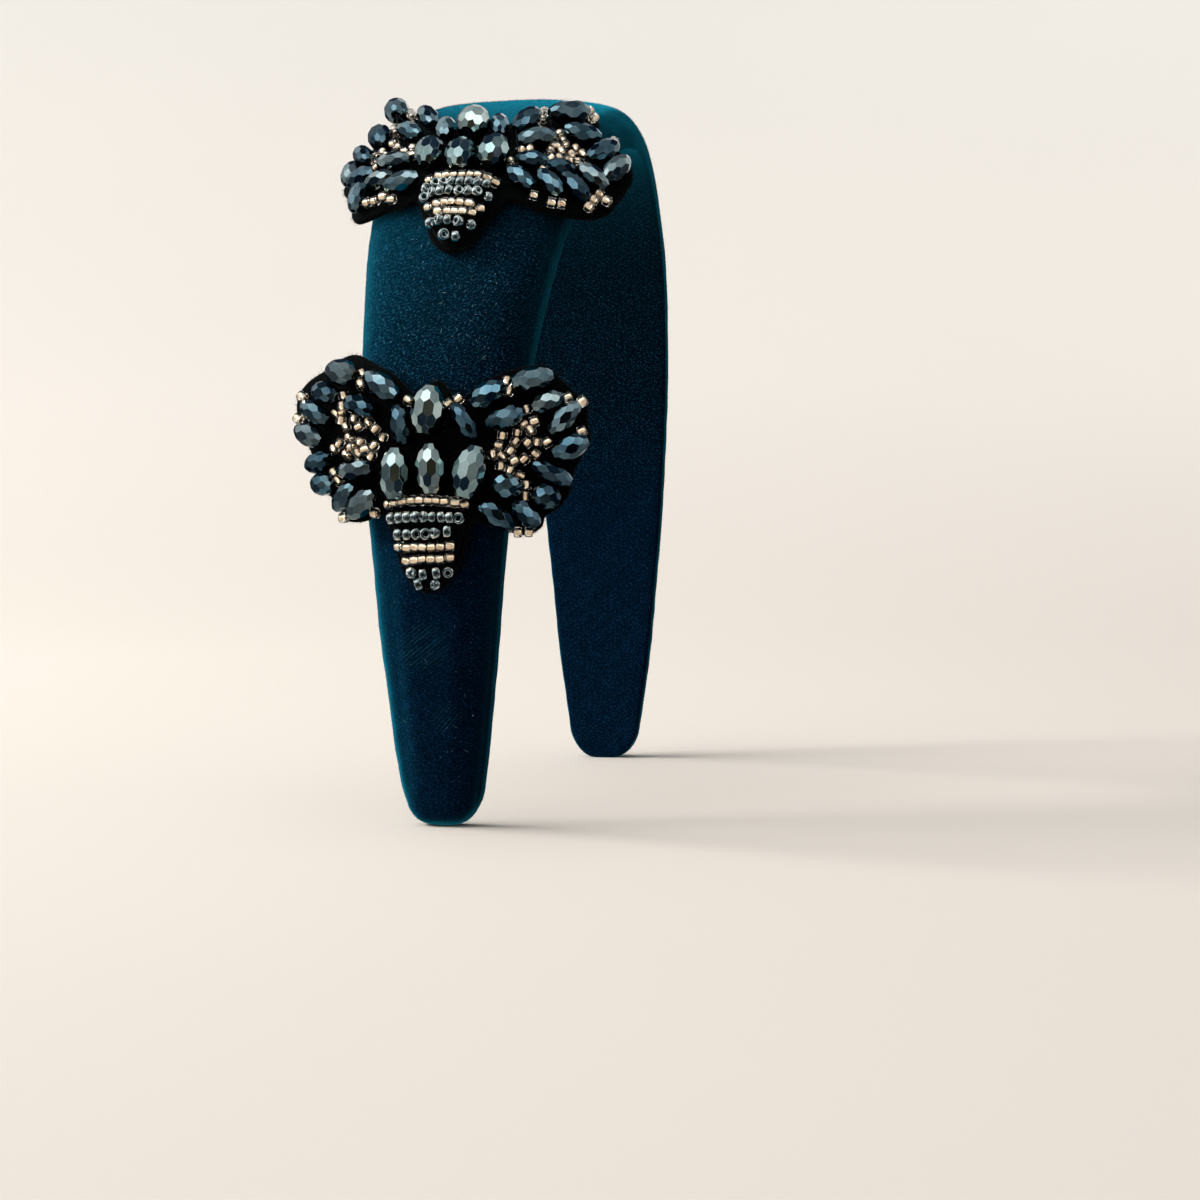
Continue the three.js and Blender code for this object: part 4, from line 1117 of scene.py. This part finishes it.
def stitch(soup, foot, middle, axis, reach, slot):
    """Thread from the felt, through a seed bead's hole and back into the felt."""
    low = [foot + (axis - (middle - foot).normalized() * axis.dot((middle - foot).normalized())) * reach * side for side in (-1, 1)]
    down = (foot - middle).normalized() * 0.3
    path = [low[0] + down, low[0].lerp(middle - axis * 0.9, 0.6), middle - axis * 0.8, middle, middle + axis * 0.8, low[1].lerp(middle + axis * 0.9, 0.6), low[1] + down]
    tube(soup, path, 0.13, slot, 6)


def make_wing_seeds():
    rng = random.Random(41)
    for (name, wing), seeds in WING_SEEDS.items():
        bee, soup = BEES[name], Soup()
        for u, v in push_clear(name, seeds, 1.17):
            at, across, along, up = frame_on(bee, u, v)
            a = rng.uniform(0, 6.28)
            axis = (across * math.cos(a) + along * math.sin(a) + up * rng.uniform(-0.25, 0.35)).normalized()
            s = rng.uniform(0.9, 1.06)
            gold_seed(soup, at + up * (SEAT + 1.12), axis, up, (s * rng.uniform(0.92, 1.08), s, s))
            stitch(soup, at, at + up * (SEAT + 1.12), axis, 1.5, 2)
        obj = soup.piece(f"{name}_bee_{wing}_wing_seeds", [SEED_SHELL, SEED_LINING, THREAD])
        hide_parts(f"{name}_bee_{wing}_seeds")
    for name, seeds in SPACERS.items():
        bee, soup = BEES[name], Soup()
        places = seeds
        for _ in range(12):
            places = [on_felt(bee, u, v, 0.8) for u, v in push_clear(name, places, 1.25)]
        for (u, v), (_, _, turn) in zip(places, seeds):
            at, across, along, up = frame_on(bee, u, v)
            a = math.radians(turn)
            axis = (-across * math.cos(a) + along * math.sin(a) + up * rng.uniform(-0.1, 0.1)).normalized()
            s = rng.uniform(0.95, 1.06)
            gold_seed(soup, at + up * (SEAT + 1.45), axis, up, (s, s, s))
            stitch(soup, at, at + up * (SEAT + 1.45), axis, 1.25, 2)
        obj = soup.piece(f"{name}_bee_spacer_seeds", [SEED_SHELL, SEED_LINING, THREAD])


make_wing_seeds()


def tail_outline(bee):
    u0 = bee["tail_u"]
    return [(u0 + h, v) for v, h in bee["tail"]] + [(u0 - h, v) for v, h in reversed(bee["tail"])]


def tail_hub(bee):
    return bee["tail_u"], bee["tail"][0][0] + TAIL_MIDDLE


def tail_share(bee, outline, u, v):
    """How far (u, v) is from the middle of the abdomen to its outline, 1 on it."""
    hu, hv = tail_hub(bee)
    du, dv = u - hu, v - hv
    if math.hypot(du, dv) < 1e-6:
        return 0.0
    best = 1e9
    for (ax, ay), (bx, by) in zip(outline, outline[1:] + outline[:1]):
        ex, ey = bx - ax, by - ay
        det = du * ey - dv * ex
        if abs(det) < 1e-9:
            continue
        t = ((ax - hu) * ey - (ay - hv) * ex) / det
        s = ((ax - hu) * dv - (ay - hv) * du) / det
        if t > 0 and -1e-9 <= s <= 1 + 1e-9:
            best = min(best, t)
    return 1 / best


def tail_mound(bee, share, u, v):
    """Height of the mound over its edge, 0 to 1: high next to the thorax, low all round the rest."""
    hu, hv = tail_hub(bee)
    lean = math.degrees(math.atan2(abs(u - hu), hv - v))
    t = min(1.0, max(0.0, (lean - 36) / 20))
    weight = TAIL_HIGH_END + (1 - TAIL_HIGH_END) * t * t * (3 - 2 * t)
    return math.sqrt(max(0.0, 1 - min(1.0, share) ** 4 * weight))


def tail_top(bee, outline, u, v):
    return FELT_THICK + SEAT + TAIL_EDGE + (TAIL_HEIGHT - TAIL_EDGE) * tail_mound(bee, tail_share(bee, outline, u, v), u, v)


def make_abdomen(name):
    bee = BEES[name]
    rng = random.Random(51 if name == "side" else 52)
    outline = tail_outline(bee)
    hu, hv = tail_hub(bee)
    # The stuffed felt core.
    around, core = 72, Soup()
    reaches = []
    for k in range(around):
        a = k / around * 2 * math.pi
        reaches.append(1 / tail_share(bee, outline, hu + math.cos(a), hv + math.sin(a)) * 0.95)
    reaches = closed_curve([sum(reaches[(i + j) % around] for j in (-1, 0, 1)) / 3 for i in range(around)], around)
    points = [over_bee(bee, hu, hv, FELT_THICK + SEAT + TAIL_HEIGHT - 2.0)]
    rings = []
    for share, drop in ((0.2, 1), (0.4, 1), (0.6, 1), (0.75, 1), (0.88, 1), (0.96, 1), (1.0, 0)):
        rings.append(len(points))
        for k in range(around):
            a = k / around * 2 * math.pi
            mound = tail_mound(bee, share, hu + math.cos(a), hv + math.sin(a))
            h = max(FELT_THICK + 0.2, FELT_THICK + SEAT + TAIL_EDGE + (TAIL_HEIGHT - TAIL_EDGE) * mound - 2.0) if drop else FELT_THICK + 0.12
            h += 0.05 * math.sin(k * 1.7 + share * 9)
            points.append(over_bee(bee, hu + reaches[k] * share * math.cos(a), hv + reaches[k] * share * math.sin(a), h))
    for share in (0.9, 0.5):
        rings.append(len(points))
        for k in range(around):
            a = k / around * 2 * math.pi
            points.append(over_bee(bee, hu + reaches[k] * share * math.cos(a), hv + reaches[k] * share * math.sin(a), FELT_THICK + 0.06))
    end = len(points)
    points.append(over_bee(bee, hu, hv, FELT_THICK + 0.06))
    faces = []
    for k in range(around):
        n = (k + 1) % around
        faces.append((0, rings[0] + k, rings[0] + n))
        for a, b in zip(rings, rings[1:]):
            faces.append((a + k, b + k, b + n, a + n))
        faces.append((end, rings[-1] + n, rings[-1] + k))
    core.add(points, faces, 0)
    pad = core.piece(f"{name}_bee_abdomen_pad", [FELT])
    if pad.data.polygons[0].normal.dot(frame_on(bee, hu, hv)[3]) < 0:
        pad.data.flip_normals()
    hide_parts(f"{name}_bee_abdomen")
    # Rows of seed beads over it.
    gold, dark = Soup(), Soup()
    for kind, row in TAIL_ROWS[name]:
        for u, v in row:
            h = tail_top(bee, outline, u, v)
            at, across, along, up = frame_on(bee, u, v, h - 1.12)
            du = (tail_top(bee, outline, u + 0.3, v) - tail_top(bee, outline, u - 0.3, v)) / 0.6
            dv = (tail_top(bee, outline, u, v + 0.3) - tail_top(bee, outline, u, v - 0.3)) / 0.6
            du, dv = max(-1.0, min(1.0, du)), max(-1.0, min(1.0, dv))
            out = (up - across * du - along * dv).normalized()
            string = (across - out * across.dot(out)).normalized()
            if kind == "gold":
                axis = (string + along * rng.uniform(-0.16, 0.16) + out * rng.uniform(-0.12, 0.12)).normalized()
                s = rng.uniform(0.95, 1.07)
                gold_seed(gold, at, axis, out, (s * 1.04, s, s))
            else:
                a = math.radians(rng.choice((rng.uniform(64, 86), rng.uniform(64, 86), rng.uniform(30, 50)))) * rng.choice((1, 1, 1, -1))
                axis = (string * math.sin(a) + out * math.cos(a) + along * rng.uniform(-0.18, 0.18)).normalized()
                s = rng.uniform(0.94, 1.06)
                points, faces = turned(DARK_RING, at, axis, along, (s, s, s * 1.05))
                dark.add(points, faces, 0)
    obj = gold.piece(f"{name}_bee_abdomen_gold_rows", [SEED_SHELL, SEED_LINING])
    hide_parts(f"{name}_bee_abdomen")
    obj = dark.piece(f"{name}_bee_abdomen_dark_rows", [SEED_DARK])
    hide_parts(f"{name}_bee_abdomen")


for name in BEES:
    make_abdomen(name)


# ---------------------------------------------------------------------------------------------------------------------
# Plain pale floor that curves up all round, and soft light.
def make_floor():
    profile = [(0.0, 0.0), (0.25, 0.0), (0.5, 0.0)]
    for k in range(1, 17):
        r = 0.5 + 1.6 * k / 16
        profile.append((r, 0.40 * (r - 0.5) ** 2 + 0.06 * (r - 0.5) ** 4))
    around = 64
    points, faces = [(0.0, 0.0, 0.0)], []
    for r, z in profile[1:]:
        for k in range(around):
            a = k / around * 2 * math.pi
            points.append((r * math.cos(a), r * math.sin(a), z))
    for k in range(around):
        n = (k + 1) % around
        faces.append((0, 1 + k, 1 + n))
        for i in range(len(profile) - 2):
            a, b = 1 + i * around, 1 + (i + 1) * around
            faces.append((a + k, b + k, b + n, a + n))
    mesh = bpy.data.meshes.new("floor")
    mesh.from_pydata(points, [], faces)
    mesh.polygons.foreach_set("use_smooth", [True] * len(faces))
    m, nt, p = material("pale_floor")
    place = node(nt, "TexCoord").outputs["Object"]
    rise = nt.nodes.new("ShaderNodeSeparateXYZ")
    nt.links.new(place, rise.inputs["Vector"])
    # Paler up the curved wall than on the floor: painted light, making up for the dimmer light that reaches the wall so
    # the backdrop reads evenly bright.
    painted_wall_lift = ramp(nt, rise.outputs["Z"], [(0.0, (0.530, 0.492, 0.449)), (0.10, (0.590, 0.556, 0.516)), (0.45, (0.655, 0.636, 0.604))])
    nt.links.new(mix(nt, "MULTIPLY", 1.0, painted_wall_lift, ramp(nt, noise(nt, place, 3.0, 2.0), [(0.3, 0.985), (0.7, 1.0)])), p.inputs["Base Color"])
    put(p, Roughness=0.9, Specular_IOR_Level=0.1)
    mesh.materials.append(m)
    floor = bpy.data.objects.new("floor", mesh)
    SCENE.collection.objects.link(floor)
    floor.visible_glossy = floor.visible_diffuse = False


def area(name, at, to, size, power, colour, mirrored=True):
    light = bpy.data.lights.new(name, "AREA")
    light.shape, light.size, light.size_y, light.energy, light.color = "RECTANGLE", size[0], size[1], power, colour
    obj = bpy.data.objects.new(name, light)
    obj.location = at
    obj.rotation_mode = "QUATERNION"
    obj.rotation_quaternion = (Vector(to) - Vector(at)).to_track_quat("-Z", "Y")
    obj.visible_camera = False
    obj.visible_glossy = mirrored
    SCENE.collection.objects.link(obj)


make_floor()
area("key", (-0.16, 1.74, 0.76), (-0.03, 0.0, 0.09), (1.3, 1.3), 138.0, (1.0, 0.97, 0.93), False)
area("overhead", (-0.10, 0.35, 2.2), (0.0, 0.0, 0.1), (2.0, 2.0), 15.0, (1.0, 0.985, 0.965), False)

world = bpy.data.worlds.new("room")
SCENE.world = world
world.use_nodes = True
wt = world.node_tree
wt.nodes.clear()
w_out, w_bg = wt.nodes.new("ShaderNodeOutputWorld"), wt.nodes.new("ShaderNodeBackground")
wt.links.new(w_bg.outputs["Background"], w_out.inputs["Surface"])
split = wt.nodes.new("ShaderNodeSeparateXYZ")
wt.links.new(wt.nodes.new("ShaderNodeTexCoord").outputs["Generated"], split.inputs["Vector"])
height = node(wt, "MapRange")
height.inputs["From Min"].default_value, height.inputs["From Max"].default_value = -1.0, 1.0
wt.links.new(split.outputs["Z"], height.inputs["Value"])
heading = wt.nodes["Texture Coordinate"].outputs["Generated"]


def toward(direction, inner, outer):
    """1 within inner degrees of a direction of the room, 0 beyond outer degrees."""
    dot = node(wt, "VectorMath", operation="DOT_PRODUCT")
    wt.links.new(heading, dot.inputs[0])
    dot.inputs[1].default_value = Vector(direction).normalized()
    spread = node(wt, "MapRange", interpolation_type="SMOOTHSTEP")
    spread.inputs["From Min"].default_value, spread.inputs["From Max"].default_value = math.cos(math.radians(outer)), math.cos(math.radians(inner))
    wt.links.new(dot.outputs["Value"], spread.inputs["Value"])
    return spread.outputs["Result"]


# Soft light on cloth and floor: brighter above and on the side of the key.
aside = node(wt, "MapRange")
aside.inputs["From Min"].default_value, aside.inputs["From Max"].default_value = -0.9, 0.9
wt.links.new(split.outputs["Y"], aside.inputs["Value"])
soft = ramp(wt, height.outputs["Result"], [(0.0, (0.55, 0.53, 0.50)), (0.45, (0.52, 0.51, 0.50)), (0.62, (0.58, 0.59, 0.595)), (1.0, (1.00, 1.02, 1.03))])
soft = mix(wt, "MULTIPLY", 1.0, soft, ramp(wt, aside.outputs["Result"], [(0.0, 0.26), (0.5, 0.44), (1.0, 2.7)]))
# What the glass mirrors: pale walls in uneven panels, a window above and to the left, a smaller one to the right, and the dark end of the room opposite the bees.
room = ramp(wt, height.outputs["Result"], [(0.0, (0.40, 0.39, 0.37)), (0.35, (0.50, 0.49, 0.47)), (0.55, (0.56, 0.56, 0.555)), (0.75, (0.70, 0.715, 0.73)), (1.0, (0.80, 0.82, 0.84))])
panels = noise(wt, heading, 1.9, 1.0, 0.5)
room = mix(wt, "MULTIPLY", 1.0, room, ramp(wt, panels, [(0.38, (0.05, 0.08, 0.13)), (0.44, (0.50, 0.52, 0.54)), (0.52, (1.05, 1.04, 1.02)), (0.64, (2.0, 1.95, 1.9))]))
room = mix(wt, "ADD", toward((-0.58, 0.30, 0.76), 17, 28), room, (2.7, 2.65, 2.55))
room = mix(wt, "ADD", toward((-0.52, -0.72, 0.46), 9, 17), room, (1.9, 1.85, 1.75))
room = mix(wt, "MULTIPLY", toward((-0.96, -0.26, 0.03), 14, 34), room, (0.16, 0.125, 0.09))
mirrored = node(wt, "LightPath")
wt.links.new(mix(wt, "MIX", mirrored.outputs["Is Glossy Ray"], soft, room), w_bg.inputs["Color"])
w_bg.inputs["Strength"].default_value = 0.9

SCENE.view_settings.view_transform = "Standard"
SCENE.view_settings.look = "None"
